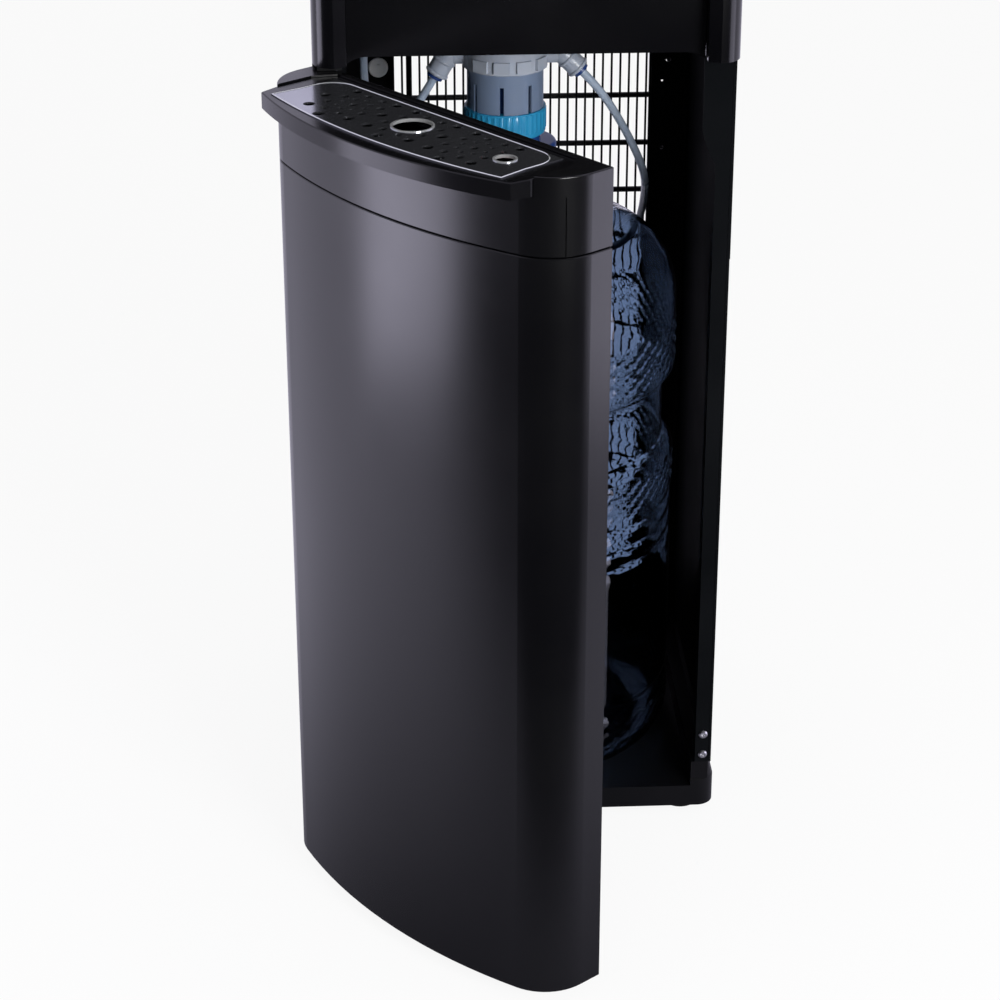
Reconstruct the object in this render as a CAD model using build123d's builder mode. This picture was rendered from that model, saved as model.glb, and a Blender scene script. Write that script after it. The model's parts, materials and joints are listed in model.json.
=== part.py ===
from build123d import *
import os
from math import asin, atan2, cos, hypot, pi, radians, sin, tan

# Bottom-load water cooler, millimetres.
# X runs to the right as you face the cooler, Y runs to the back, Z is up.
# The origin is on the floor, on the middle line of the cabinet, at its front plane.
# The door is modelled as it stands open; every door piece is drawn on the door's own plane,
# whose x runs along the door's width from the hinge line and whose -y points out of its face.

os.makedirs("parts", exist_ok=True)

# ---------------------------------------------------------------- bottle, which sets the bay's size
bottle_r = 133.0
bottle_height = 515.0
bottle_side_gap = 8.0
bottle_front_gap = 5.5
bottle_back_gap = 17.0
bottle_headroom = 126.0
bottle_wall = 1.6
bottle_foot_r = 20.0
bottle_neck_r = 28.0
shoulder_drop = 115.0
dome_drop = 71.0
dome_inset = 26.0
neck_length = 35.0
bottle_rib_depth = 5.0
bottle_rib_width = 16.0
bottle_rib_heights = (96.0, 214.0, 332.0)
cap_r = 33.0
cap_height = 34.0
cap_wall = 2.5
suction_r = 6.0
suction_bore_r = 4.0
suction_clear = 12.0

# ---------------------------------------------------------------- cabinet
bay_side = 16.5
bay_half_width = bottle_r + bottle_side_gap
half_width = bay_half_width + bay_side
cabinet_width = 2 * half_width
cabinet_height = 1055.0
panel_front_y = 7.5
bottle_y = panel_front_y + bottle_front_gap + bottle_r
panel_rear_y = bottle_y + bottle_r + bottle_back_gap
bay_floor_z = 27.0
shelf_z = bay_floor_z + bottle_height + bottle_headroom
shelf_thick = 3.0
sheet = 2.0
emboss = 1.0
emboss_bottom_z = 496.0
jamb_thick = 2.5
jamb_width = 13.5
jamb_gusset_width = 24.0
jamb_return = 12.0
gusset_height = 66.0
gusset_bottom_z = shelf_z - gusset_height
gusset_drop = 28.0
fit_gap = 0.3

# ---------------------------------------------------------------- base and feet
base_bottom_z = 8.0
base_flange_z = 34.0
base_top_z = 50.0
base_front_y = 7.2
base_overhang = 7.0
base_back_y = panel_rear_y + base_overhang
base_flare = 3.5
base_corner_r = 14.0
base_floor_thick = 4.0
base_rib = 4.0
base_wall = 10.0
foot_r = 16.0
foot_inset_x = 26.0
foot_inset_y = 25.0
foot_peg_r = 5.0
foot_peg_height = 10.0
foot_chamfer = 1.5

# ---------------------------------------------------------------- door
door_open_angle = 51.5
hinge_inset = 12.0
hinge_y = -5.5
door_bottom_z = 14.0
seat_drop = 24.0
seat_z = shelf_z - seat_drop
band_height = 42.0
band_bottom_z = seat_z - band_height
band_gap = 1.0
door_top_drop = 10.0
door_top_z = shelf_z - door_top_drop
door_bulge = 77.0
door_straight = 19.0
door_corner_r = 41.0
door_wall = 3.0
door_edge = 0.6
liner_depth = 12.0
liner_edge = 14.0
liner_wall = 2.5
slot_width = 1.2
slot_depth = 1.2

# ---------------------------------------------------------------- hinges
pin_r = 3.0
pin_clearance = 0.05
bush_r = 6.0
bush_height = 9.0
pin_reach = 8.0
hinge_plate = 3.0

# ---------------------------------------------------------------- drip tray, in door coordinates
tray_sink = 1.5
tray_top_z = door_top_z - tray_sink
tray_end_gap = 20.0
tray_half_length = half_width - tray_end_gap
tray_back_slant_u = 9.5
tray_back_half = tray_half_length - tray_back_slant_u
tray_rim_back_v = 6.5
tray_back_slant_v = 23.0
tray_shoulder_v = 56.0
tray_tip_u = 3.0
tray_tip_half = tray_half_length - tray_tip_u
tray_tip_v = 71.0
tray_bow_v = 96.0
tray_clearance = 0.5
basin_end = 21.5
basin_half_length = tray_half_length - basin_end
basin_front_v = 55.0
basin_back_v = 23.0
basin_depth = 14.0
basin_bottom_z = seat_z - basin_depth
basin_wall = 2.0
basin_corner_r = 9.0
grille_thick = 1.5
grille_proud = 0.7
grille_end = 13.5
grille_half_front = tray_half_length - grille_end
grille_lean = 2.5
grille_half_side = grille_half_front - grille_lean
grille_front_v = 70.0
grille_bow_v = 84.0
grille_side_v = 46.0
grille_back_v = 12.5
grille_corner_r = 20.0
rosette_pitch = 65.0
rosette_v = 42.0
drain_hole_r = 14.0
float_hole_r = 7.0
float_end = 25.0
float_hole_offset = grille_half_side - float_end
ring_wall = 1.6
ring_proud = 0.6

# ---------------------------------------------------------------- dispensing head
top_height = 17.0
head_top_z = cabinet_height - top_height
head_height = 158.0
head_bottom_z = head_top_z - head_height
head_bulge_y = -62.0
head_corner_r = 22.0
head_front_r = 304.0
head_wall = 3.0
housing_back_y = 7.0
pillar_drop = 7.0
pillar_bottom_z = shelf_z - pillar_drop
pillar_width = 24.5
pillar_inner_x = half_width - pillar_width
pillar_inner_y = -15.0
crease_inset = 15.5
pillar_crease_x = half_width - crease_inset
pillar_crease_y = -20.0
pillar_wall = 3.0
pillar_floor = 3.0
pillar_skin = 5.5
pillar_hollow_x = half_width - pillar_skin
pillar_hollow_y = -11.0
pillar_bow = 4.0
pillar_bow_x = half_width - pillar_bow
pillar_bow_y = -14.5
pillar_side_y = 2.0
alcove_thick = 3.0
alcove_lap = 4.0
alcove_bottom_z = shelf_z - alcove_lap
alcove_drop = 5.0
alcove_curve = 14.7
fascia_half_width = 84.0
fascia_sill = 48.0
fascia_bottom_z = head_bottom_z + fascia_sill
fascia_height = 92.0
fascia_proud = 2.5
fascia_corner_r = 14.0
button_r = 13.0
button_pitch = 50.0
button_rise = 57.0
button_z = fascia_bottom_z + button_rise
button_travel = 2.5
button_left_proud = 1.0
button_clearance = 0.4
button_stem_r = 4.0
button_flange = 1.5
button_flange_r = 15.5
button_stem = 8.0
button_edge = 1.2
lens_r = 2.5
lens_proud = 0.6
lens_clearance = 0.1
lens_rise = 30.0
lens_z = fascia_bottom_z + lens_rise
spout_pitch = 44.0
spout_r = 8.0
spout_bore_r = 4.0
spout_y = -36.0
spout_drop = 26.0
spout_bottom_z = head_bottom_z - spout_drop
spout_inset = 12.0
spout_lip = 1.5
top_overhang = 2.0
top_back_y = panel_rear_y + top_overhang
top_lip = 4.0
top_skin = 3.0
top_round = 5.0

# ---------------------------------------------------------------- filter
filter_x = -10.0
filter_y = 110.0
filter_drop = 44.0
canister_r = 30.0
canister_height = 32.0
canister_top_z = shelf_z - filter_drop
canister_bottom_z = canister_top_z - canister_height
ring_height = 21.0
ring_bottom_z = canister_bottom_z - ring_height
filter_ring_r = 32.0
bottom_cap_r = 28.0
bottom_cap_height = 15.0
bottom_cap_z = ring_bottom_z - bottom_cap_height
collar_r = 33.0
collar_lug_count = 12
lug_start_angle = -97.5
lug_keepout_angle = 26.0
head_top_gap = 0.3
filter_slot_count = 8
slot_start_angle = -98.0
elbow_drop = 35.0
elbow_z = shelf_z - elbow_drop
elbow_r = 7.5
elbow_nose_r = 8.5
collet_r = 6.5
collet_length = 3.0
hose_r = 3.2
bend_share = 0.45
hose_lead = 24.0
hose_rise = 28.0

# ---------------------------------------------------------------- cooling and heating
condenser_gap = 6.0
condenser_y = panel_rear_y + condenser_gap
condenser_left_x = -122.0
condenser_right_x = 143.0
condenser_bottom_z = 114.0
condenser_tube_r = 2.4
condenser_runs = 13
condenser_headroom = 26.0
wire_r = 0.95
wire_pitch = 7.45
wire_count = 30
wire_shift = 2.2
window_margin = 3.0
window_left_x = -95.0
window_right_x = 125.0
window_bottom_z = 92.0
window_drop = 18.0
window_top_z = shelf_z - window_drop
condenser_top_z = window_top_z - condenser_headroom
condenser_tube_pitch = (condenser_top_z - condenser_bottom_z) / (condenser_runs - 1)
window_bar_x = -82.7
window_bar = 3.4
rail_width = 5.0
wire_overrun = 20.0

# ================================================================ helpers
angle = radians(door_open_angle)
hinge_x = -half_width + hinge_inset
door_plane = Plane(
    origin=(hinge_x, hinge_y, 0), x_dir=(cos(angle), -sin(angle), 0), z_dir=(0, 0, 1)
)


def save(piece, name):
    """Name a finished piece and write its STEP file."""
    piece.label = name
    export_step(piece, f"parts/{name}.step")


def on_door(u, v):
    """Door-plane point from a distance u along the door and v in front of its back plane."""
    return (u - hinge_inset, -v)


def at_door(z):
    """The door's own plane at height z."""
    return door_plane.offset(z)


def door_outline(z, inset, back_v=0.0):
    """D-shaped plan of the door, drawn in by inset, with its straight back at back_v."""
    radius = door_corner_r - inset
    half = cabinet_width / 2 - door_corner_r
    reach = door_bulge - door_straight
    big = (half * half + reach * reach - door_corner_r**2) / (2 * (reach - door_corner_r))
    centre_v = door_bulge - big
    turn = atan2(door_straight - centre_v, half)
    side = cabinet_width - inset
    corner_u = cabinet_width - door_corner_r

    def corner(direction, mirrored):
        u = corner_u + radius * cos(direction)
        v = door_straight + radius * sin(direction)
        return on_door(cabinet_width - u if mirrored else u, v)

    with BuildSketch(at_door(z)) as outline:
        with BuildLine():
            Line(on_door(inset, back_v), on_door(side, back_v))
            Line(on_door(side, back_v), corner(0, False))
            ThreePointArc(corner(0, False), corner(turn / 2, False), corner(turn, False))
            ThreePointArc(
                corner(turn, False), on_door(cabinet_width / 2, door_bulge - inset), corner(turn, True)
            )
            ThreePointArc(corner(turn, True), corner(turn / 2, True), corner(0, True))
            Line(corner(0, True), on_door(inset, back_v))
        make_face()
    return outline.sketch


middle_u = cabinet_width / 2


def tray_outline(z, clearance):
    """Plan of the drip tray's rim: a bowed front, a facet at each end and a straight back."""
    half = tray_half_length + clearance
    rear = tray_back_half + clearance
    tip = tray_tip_half + clearance
    back = tray_rim_back_v - clearance
    front = tray_tip_v + clearance
    with BuildSketch(at_door(z)) as outline:
        with BuildLine():
            Line(on_door(middle_u - rear, back), on_door(middle_u + rear, back))
            Line(on_door(middle_u + rear, back), on_door(middle_u + half, tray_back_slant_v))
            Line(on_door(middle_u + half, tray_back_slant_v), on_door(middle_u + half, tray_shoulder_v))
            Line(on_door(middle_u + half, tray_shoulder_v), on_door(middle_u + tip, front))
            ThreePointArc(
                on_door(middle_u + tip, front),
                on_door(middle_u, tray_bow_v + clearance),
                on_door(middle_u - tip, front),
            )
            Line(on_door(middle_u - tip, front), on_door(middle_u - half, tray_shoulder_v))
            Line(on_door(middle_u - half, tray_shoulder_v), on_door(middle_u - half, tray_back_slant_v))
            Line(on_door(middle_u - half, tray_back_slant_v), on_door(middle_u - rear, back))
        make_face()
    return outline.sketch


def grille_outline(z, inset):
    """Plan of the grille: a slightly bowed front, leaning ends and rounded back corners."""
    front_half = grille_half_front - inset
    side_half = grille_half_side - inset
    with BuildSketch(at_door(z)) as outline:
        with BuildLine():
            Line(
                on_door(middle_u - side_half, grille_back_v + inset),
                on_door(middle_u + side_half, grille_back_v + inset),
            )
            Line(
                on_door(middle_u + side_half, grille_back_v + inset),
                on_door(middle_u + side_half, grille_side_v),
            )
            Line(
                on_door(middle_u + side_half, grille_side_v),
                on_door(middle_u + front_half, grille_front_v - inset),
            )
            ThreePointArc(
                on_door(middle_u + front_half, grille_front_v - inset),
                on_door(middle_u, grille_bow_v - inset),
                on_door(middle_u - front_half, grille_front_v - inset),
            )
            Line(
                on_door(middle_u - front_half, grille_front_v - inset),
                on_door(middle_u - side_half, grille_side_v),
            )
            Line(
                on_door(middle_u - side_half, grille_side_v),
                on_door(middle_u - side_half, grille_back_v + inset),
            )
        make_face()
        rear = [
            corner
            for corner in outline.vertices()
            if abs(door_plane.to_local_coords(corner.center()).Y + grille_back_v + inset) < fit_gap
        ]
        fillet(rear, radius=grille_corner_r - inset)
    return outline.sketch


# ================================================================ base and feet
base_depth = base_back_y - base_front_y
base_width = cabinet_width + 2 * base_flare
foot_x = base_width / 2 - foot_inset_x
foot_front_y = base_front_y + foot_inset_y
foot_rear_y = base_back_y - foot_inset_y
foot_places = [(sx * foot_x, y) for sx in (-1, 1) for y in (foot_front_y, foot_rear_y)]
bay_back_y = panel_rear_y - base_wall
pocket_width = foot_x - foot_peg_r - 2 * base_rib - base_rib / 2
pocket_depth = (base_depth - 2 * base_wall - base_rib) / 2
base_middle_y = (base_front_y + base_back_y) / 2
pocket_places = [
    (sx * (pocket_width + base_rib) / 2, base_middle_y + sy * (pocket_depth + base_rib) / 2)
    for sx in (-1, 1)
    for sy in (-1, 1)
]
panel_inside_x = half_width - sheet

with BuildPart() as base:
    # flared skirt that stands on the feet
    with BuildSketch(Plane.XY.offset(base_bottom_z)):
        with Locations((0, base_middle_y)):
            RectangleRounded(base_width, base_depth, base_corner_r)
    extrude(amount=base_flange_z - base_bottom_z)
    skirt_rim = base.faces().sort_by(Axis.Z)[-1].edges()
    chamfer(skirt_rim, length=base_flare / 2)
    # collar that the side panels wrap
    with BuildSketch(Plane.XY.offset(base_flange_z)):
        with Locations((0, (panel_front_y + panel_rear_y) / 2)):
            Rectangle(2 * (panel_inside_x - fit_gap), panel_rear_y - panel_front_y)
    extrude(amount=base_top_z - base_flange_z)
    # bay for the bottle, open to the front
    with BuildSketch(Plane.XY.offset(bay_floor_z)):
        with Locations((0, (base_front_y + bay_back_y) / 2 - base_wall)):
            Rectangle(2 * bay_half_width, bay_back_y - base_front_y + 2 * base_wall)
    extrude(amount=base_top_z - bay_floor_z, mode=Mode.SUBTRACT)
    # pockets between the ribs underneath
    with BuildSketch(Plane.XY.offset(base_bottom_z)):
        with Locations(*pocket_places):
            Rectangle(pocket_width, pocket_depth)
    extrude(amount=bay_floor_z - base_floor_thick - base_bottom_z, mode=Mode.SUBTRACT)
    # sockets for the feet
    with BuildSketch(Plane.XY.offset(base_bottom_z)):
        with Locations(*foot_places):
            Circle(foot_peg_r + fit_gap)
    extrude(amount=foot_peg_height + fit_gap, mode=Mode.SUBTRACT)
save(base.part, "base")

with BuildPart() as feet:
    with BuildSketch(Plane.XY):
        with Locations(*foot_places):
            Circle(foot_r)
    extrude(amount=base_bottom_z)
    chamfer(feet.edges().group_by(Axis.Z)[0], length=foot_chamfer)
    with BuildSketch(Plane.XY.offset(base_bottom_z)):
        with Locations(*foot_places):
            Circle(foot_peg_r)
    extrude(amount=foot_peg_height)
save(feet.part, "feet")

# ================================================================ cabinet panels
panel_height = head_top_z - base_top_z


def side_panel(side):
    """Steel side of the cabinet with its raised upper field; side is 1 on the right, -1 on the left."""
    with BuildPart() as panel:
        with BuildSketch(Plane.XY.offset(base_top_z)):
            with Locations((side * (half_width - sheet / 2), (panel_front_y + panel_rear_y) / 2)):
                Rectangle(sheet, panel_rear_y - panel_front_y)
        extrude(amount=panel_height)
        with BuildSketch(Plane.XY.offset(emboss_bottom_z)):
            with Locations((side * (half_width + emboss / 2), (panel_front_y + panel_rear_y) / 2)):
                Rectangle(emboss, panel_rear_y - panel_front_y - 4 * sheet)
        extrude(amount=head_top_z - emboss_bottom_z - 2 * sheet)
    return panel.part


save(side_panel(1), "right_side_panel")
save(side_panel(-1), "left_side_panel")

jamb_outer_x = panel_inside_x - fit_gap
jamb_inner_x = half_width - jamb_width
gusset_x = half_width - jamb_gusset_width
jamb_plane = Plane.XZ.offset(-panel_front_y)
screw_inset = 7.2
screw_x = half_width - screw_inset
screw_heights = (57.5, 76.5)
screw_shank_r = 2.0
screw_head_r = 3.7
screw_head_height = 2.2
screw_length = 9.0
screw_slot = 0.8

with BuildPart() as jambs:
    with BuildSketch(jamb_plane):
        with BuildLine():
            Line((jamb_outer_x, base_top_z), (jamb_outer_x, shelf_z))
            Line((jamb_outer_x, shelf_z), (gusset_x, shelf_z))
            Line((gusset_x, shelf_z), (gusset_x, gusset_bottom_z))
            ThreePointArc(
                (gusset_x, gusset_bottom_z),
                (gusset_x + (jamb_inner_x - gusset_x) / 3, gusset_bottom_z - gusset_drop / 2),
                (jamb_inner_x, gusset_bottom_z - gusset_drop),
            )
            Line((jamb_inner_x, gusset_bottom_z - gusset_drop), (jamb_inner_x, base_top_z))
            Line((jamb_inner_x, base_top_z), (jamb_outer_x, base_top_z))
        make_face()
    extrude(amount=-jamb_thick)
    # return lip along the inner edge
    with BuildSketch(Plane.XY.offset(base_top_z)):
        with Locations((jamb_inner_x + jamb_thick / 2, panel_front_y + jamb_thick + jamb_return / 2)):
            Rectangle(jamb_thick, jamb_return)
    extrude(amount=gusset_bottom_z - gusset_drop - base_top_z)
    mirror(about=Plane.YZ)
    # screw holes on the free side only, because the door swings past the other jamb
    with BuildSketch(jamb_plane):
        with Locations(*[(screw_x, z) for z in screw_heights]):
            Circle(screw_shank_r + fit_gap)
    extrude(amount=-jamb_thick, mode=Mode.SUBTRACT)
save(jambs.part, "door_jambs")

with BuildPart() as jamb_screws:
    with BuildSketch(jamb_plane):
        with Locations(*[(screw_x, z) for z in screw_heights]):
            Circle(screw_head_r)
    extrude(amount=screw_head_height)
    chamfer(jamb_screws.edges().group_by(Axis.Y)[0], length=screw_head_height / 2)
    with BuildSketch(jamb_plane):
        with Locations(*[(screw_x, z) for z in screw_heights]):
            Circle(screw_shank_r)
    extrude(amount=-screw_length)
    with BuildSketch(jamb_plane.offset(screw_head_height)):
        with Locations(*[(screw_x, z) for z in screw_heights]):
            Rectangle(screw_head_r, screw_slot)
            Rectangle(screw_slot, screw_head_r)
    extrude(amount=-screw_head_height / 2, mode=Mode.SUBTRACT)
save(jamb_screws.part, "jamb_screws")

# ---------------------------------------------------------------- rear panel
plug_inset = 49.5
plug_x = plug_inset - half_width
plug_z = 569.0
plug_r = 8.5
plug_stem_r = 5.0
plug_head = 3.0
plug_dimple_r = 1.6
# small holes beside the window: how far in from the right side, their height and radius
rear_hole_places = ((18.5, 572.0, 2.2), (23.5, 553.5, 1.0), (22.5, 494.0, 1.6))
inlet_inset = 52.5
inlet_x = half_width - inlet_inset
inlet_rise = 52.0
inlet_z = shelf_z + inlet_rise
inlet_width = 30.0
inlet_height = 24.0
inlet_depth = 28.0
inlet_flange = 5.0
pin_hole_r = 1.3
switch_inset = 53.5
switch_x = switch_inset - half_width
switch_drop = 78.0
switch_z = head_top_z - switch_drop
switch_pitch = 32.0
switch_flange = 4.0
switch_plate_width = 78.0
switch_plate_height = 34.0
rocker_width = 14.0
rocker_half_height = 10.0
rocker_tilt = 8.0
drain_x = 60.0
drain_rise = 32.0
drain_z = shelf_z + drain_rise
drain_r = 12.0
louvre_count = 9
louvre_width = 60.0
louvre_height = 4.0
louvre_pitch = 11.0
louvre_rise = 102.0
louvre_z = shelf_z + louvre_rise
pipe_hole_r = 4.5
pipe_x = 108.0
pipe_rise = 32.0
pipe_z = shelf_z + pipe_rise
riser_x = 136.0
riser_top_z = shelf_z + 4.0
rear_plane = Plane.XZ.offset(-panel_rear_y)

with BuildPart() as rear_panel:
    with BuildSketch(rear_plane):
        with Locations((0, base_top_z + panel_height / 2)):
            Rectangle(2 * (panel_inside_x - fit_gap), panel_height)
        with Locations(((window_left_x + window_right_x) / 2, (window_bottom_z + window_top_z) / 2)):
            RectangleRounded(
                window_right_x - window_left_x,
                window_top_z - window_bottom_z,
                window_margin,
                mode=Mode.SUBTRACT,
            )
        # upright bar of the window
        with Locations((window_bar_x, (window_bottom_z + window_top_z) / 2)):
            Rectangle(window_bar, window_top_z - window_bottom_z)
        with Locations((plug_x, plug_z)):
            Circle(plug_stem_r + fit_gap, mode=Mode.SUBTRACT)
        for hole_inset, hole_z, hole_r in rear_hole_places:
            with Locations((half_width - hole_inset, hole_z)):
                Circle(hole_r, mode=Mode.SUBTRACT)
        with Locations((inlet_x, inlet_z)):
            Rectangle(inlet_width + 2 * fit_gap, inlet_height + 2 * fit_gap, mode=Mode.SUBTRACT)
        with Locations((switch_x, switch_z)):
            Rectangle(
                switch_plate_width - 2 * switch_flange,
                switch_plate_height - 2 * switch_flange,
                mode=Mode.SUBTRACT,
            )
        with Locations((drain_x, drain_z)):
            Circle(drain_r - inlet_flange + fit_gap, mode=Mode.SUBTRACT)
        with Locations((pipe_x, pipe_z)):
            Circle(pipe_hole_r, mode=Mode.SUBTRACT)
        with Locations((0, louvre_z + (louvre_count - 1) * louvre_pitch / 2)):
            with GridLocations(2 * louvre_width, louvre_pitch, 2, louvre_count):
                RectangleRounded(louvre_width, louvre_height, louvre_height / 3, mode=Mode.SUBTRACT)
    extrude(amount=sheet)
save(rear_panel.part, "rear_panel")

with BuildPart() as service_plug:
    with BuildSketch(rear_plane.offset(sheet)):
        with Locations((plug_x, plug_z)):
            Circle(plug_r)
    extrude(amount=plug_head)
    fillet(service_plug.edges().group_by(Axis.Y)[0], radius=plug_head / 2)
    with BuildSketch(rear_plane.offset(sheet)):
        with Locations((plug_x, plug_z)):
            Circle(plug_stem_r)
    extrude(amount=-2 * sheet)
    with BuildSketch(rear_plane.offset(sheet + plug_head)):
        with Locations((plug_x, plug_z + plug_r / 2)):
            Circle(plug_dimple_r)
    extrude(amount=-plug_head / 2, mode=Mode.SUBTRACT)
save(service_plug.part, "service_plug")

# ================================================================ shelf above the bottle bay
shelf_front_y = panel_front_y + jamb_thick + fit_gap
shelf_rear_y = panel_rear_y - sheet - fit_gap
bulkhead_x = -118.0
bulkhead_y = 216.0
bulkhead_r = 8.0
bulkhead_nut_r = 11.0
bulkhead_drop = 6.0

with BuildPart() as mid_shelf:
    with BuildSketch(Plane.XY.offset(shelf_z)):
        with Locations((0, (shelf_front_y + shelf_rear_y) / 2)):
            Rectangle(2 * (panel_inside_x - fit_gap), shelf_rear_y - shelf_front_y)
        with Locations((bulkhead_x, bulkhead_y)):
            Circle(bulkhead_r + fit_gap, mode=Mode.SUBTRACT)
    extrude(amount=shelf_thick)
save(mid_shelf.part, "mid_shelf")

with BuildPart() as bulkhead:
    with BuildSketch(Plane.XY.offset(shelf_z - bulkhead_drop)):
        with Locations((bulkhead_x, bulkhead_y)):
            RegularPolygon(bulkhead_nut_r, 6)
    extrude(amount=bulkhead_drop)
    with BuildSketch(Plane.XY.offset(shelf_z)):
        with Locations((bulkhead_x, bulkhead_y)):
            Circle(bulkhead_r)
    extrude(amount=shelf_thick + bulkhead_drop)
save(bulkhead.part, "hose_bulkhead")

# ================================================================ condenser
bend_r = condenser_tube_pitch / 2
run_right_x = condenser_right_x - bend_r
run_left_x = condenser_left_x + bend_r
wire_front_y = condenser_y - condenser_tube_r - wire_r

with BuildPart() as condenser_tube:
    with BuildLine() as serpentine:
        for run in range(condenser_runs):
            z = condenser_bottom_z + run * condenser_tube_pitch
            rightwards = run % 2 == 0
            start_x = run_left_x if rightwards else run_right_x
            end_x = run_right_x if rightwards else run_left_x
            Line((start_x, condenser_y, z), (end_x, condenser_y, z))
            if run < condenser_runs - 1:
                bulge = bend_r if rightwards else -bend_r
                ThreePointArc(
                    (end_x, condenser_y, z),
                    (end_x + bulge, condenser_y, z + bend_r),
                    (end_x, condenser_y, z + condenser_tube_pitch),
                )
    with BuildSketch(Plane(origin=serpentine.line @ 0, z_dir=serpentine.line % 0)):
        Circle(condenser_tube_r)
    sweep()
save(condenser_tube.part, "condenser_tube")

wire_bottom_z = condenser_bottom_z - wire_overrun
wire_height = condenser_top_z + wire_overrun - wire_bottom_z
wire_middle_x = (window_left_x + window_right_x) / 2 - wire_shift
with BuildPart() as condenser_wires:
    with BuildSketch(Plane.XY.offset(wire_bottom_z)):
        with Locations((wire_middle_x, wire_front_y)):
            with GridLocations(wire_pitch, 1, wire_count, 1):
                Circle(wire_r)
    extrude(amount=wire_height)
save(condenser_wires.part, "condenser_wires")

# rails at both sides carry the condenser on the rear panel
rail_height = wire_height
rail_depth = condenser_y - condenser_tube_r - fit_gap - panel_rear_y
rail_inset = 2.0
rail_middle_y = panel_rear_y + rail_depth / 2
with BuildPart() as condenser_rails:
    with BuildSketch(Plane.XY.offset(wire_bottom_z)):
        left_rail_x = window_left_x - rail_inset - rail_width / 2
        right_rail_x = window_right_x - rail_inset + rail_width / 2
        with Locations((left_rail_x, rail_middle_y), (right_rail_x, rail_middle_y)):
            Rectangle(rail_width, rail_depth)
    extrude(amount=rail_height)
save(condenser_rails.part, "condenser_rails")

# ================================================================ bottle
def bottle_section(inset, top):
    """Half section of the bottle, drawn in by inset, closed at height top; x is the radius."""
    radius = bottle_r - inset
    foot = bottle_foot_r - inset
    neck = bottle_neck_r - inset
    dome_r = bottle_r - dome_inset - inset
    dome_height = bottle_height - dome_drop - inset
    shoulder_height = bottle_height - shoulder_drop
    neck_base = bottle_height - neck_length - inset
    with BuildSketch(Plane.XZ) as section:
        with BuildLine():
            Line((0, inset), (radius - foot, inset))
            ThreePointArc(
                (radius - foot, inset),
                (radius - foot + foot * sin(pi / 4), inset + foot - foot * cos(pi / 4)),
                (radius, inset + foot),
            )
            height = inset + foot
            for rib in bottle_rib_heights:
                Line((radius, height), (radius, rib - bottle_rib_width / 2))
                ThreePointArc(
                    (radius, rib - bottle_rib_width / 2),
                    (radius - bottle_rib_depth, rib),
                    (radius, rib + bottle_rib_width / 2),
                )
                height = rib + bottle_rib_width / 2
            Line((radius, height), (radius, shoulder_height))
            ThreePointArc((radius, shoulder_height), (dome_r, dome_height), (neck, neck_base))
            Line((neck, neck_base), (neck, top))
            Line((neck, top), (0, top))
            Line((0, top), (0, inset))
        make_face()
    return section.sketch


bottle_place = Location((0, bottle_y, bay_floor_z))
with BuildPart() as bottle_shape:
    revolve(bottle_section(0, bottle_height), axis=Axis.Z)
    revolve(bottle_section(bottle_wall, bottle_height + bottle_wall), axis=Axis.Z, mode=Mode.SUBTRACT)
bottle = bottle_shape.part.moved(bottle_place)
save(bottle, "bottle")

neck_top_z = bay_floor_z + bottle_height
cap_bottom_z = neck_top_z - cap_height + cap_wall
spigot_r = 5.0
spigot_length = 16.0
spigot_end_y = bottle_y + cap_r + spigot_length
suction_bottom_z = bay_floor_z + bottle_wall + suction_clear

with BuildPart() as probe_cap:
    with BuildSketch(Plane.XY.offset(cap_bottom_z)):
        with Locations((0, bottle_y)):
            Circle(cap_r)
            Circle(bottle_neck_r + fit_gap, mode=Mode.SUBTRACT)
    extrude(amount=neck_top_z - cap_bottom_z)
    with BuildSketch(Plane.XY.offset(neck_top_z)):
        with Locations((0, bottle_y)):
            Circle(cap_r)
            Circle(suction_r + fit_gap, mode=Mode.SUBTRACT)
    extrude(amount=4 * cap_wall)
    fillet(probe_cap.edges().group_by(Axis.Z)[-1].sort_by(SortBy.LENGTH)[-1], radius=cap_wall)
    with BuildSketch(Plane.XZ.offset(-(bottle_y + cap_r - cap_wall))):
        with Locations((0, neck_top_z + 2 * cap_wall)):
            Circle(spigot_r)
    extrude(amount=-(spigot_end_y - bottle_y - cap_r + cap_wall))
save(probe_cap.part, "probe_cap")

with BuildPart() as suction_tube:
    with BuildSketch(Plane.XY.offset(suction_bottom_z)):
        with Locations((0, bottle_y)):
            Circle(suction_r)
            Circle(suction_bore_r, mode=Mode.SUBTRACT)
    extrude(amount=neck_top_z + 4 * cap_wall - suction_bottom_z)
save(suction_tube.part, "suction_tube")

# ================================================================ filter
filter_axis = (filter_x, filter_y)
neck_r = 26.0
neck_height = 12.0
head_neck_clear = 0.4
lug_width = 12.5
lug_height = 9.0
lug_proud = 1.8
canister_wall = 2.4
slot_half = 1.6
slot_height = 22.0
filter_core_r = 24.0
core_lift = 6.0
filter_core_bottom_z = bottom_cap_z + core_lift
head_foot_z = canister_top_z + head_top_gap

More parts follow.
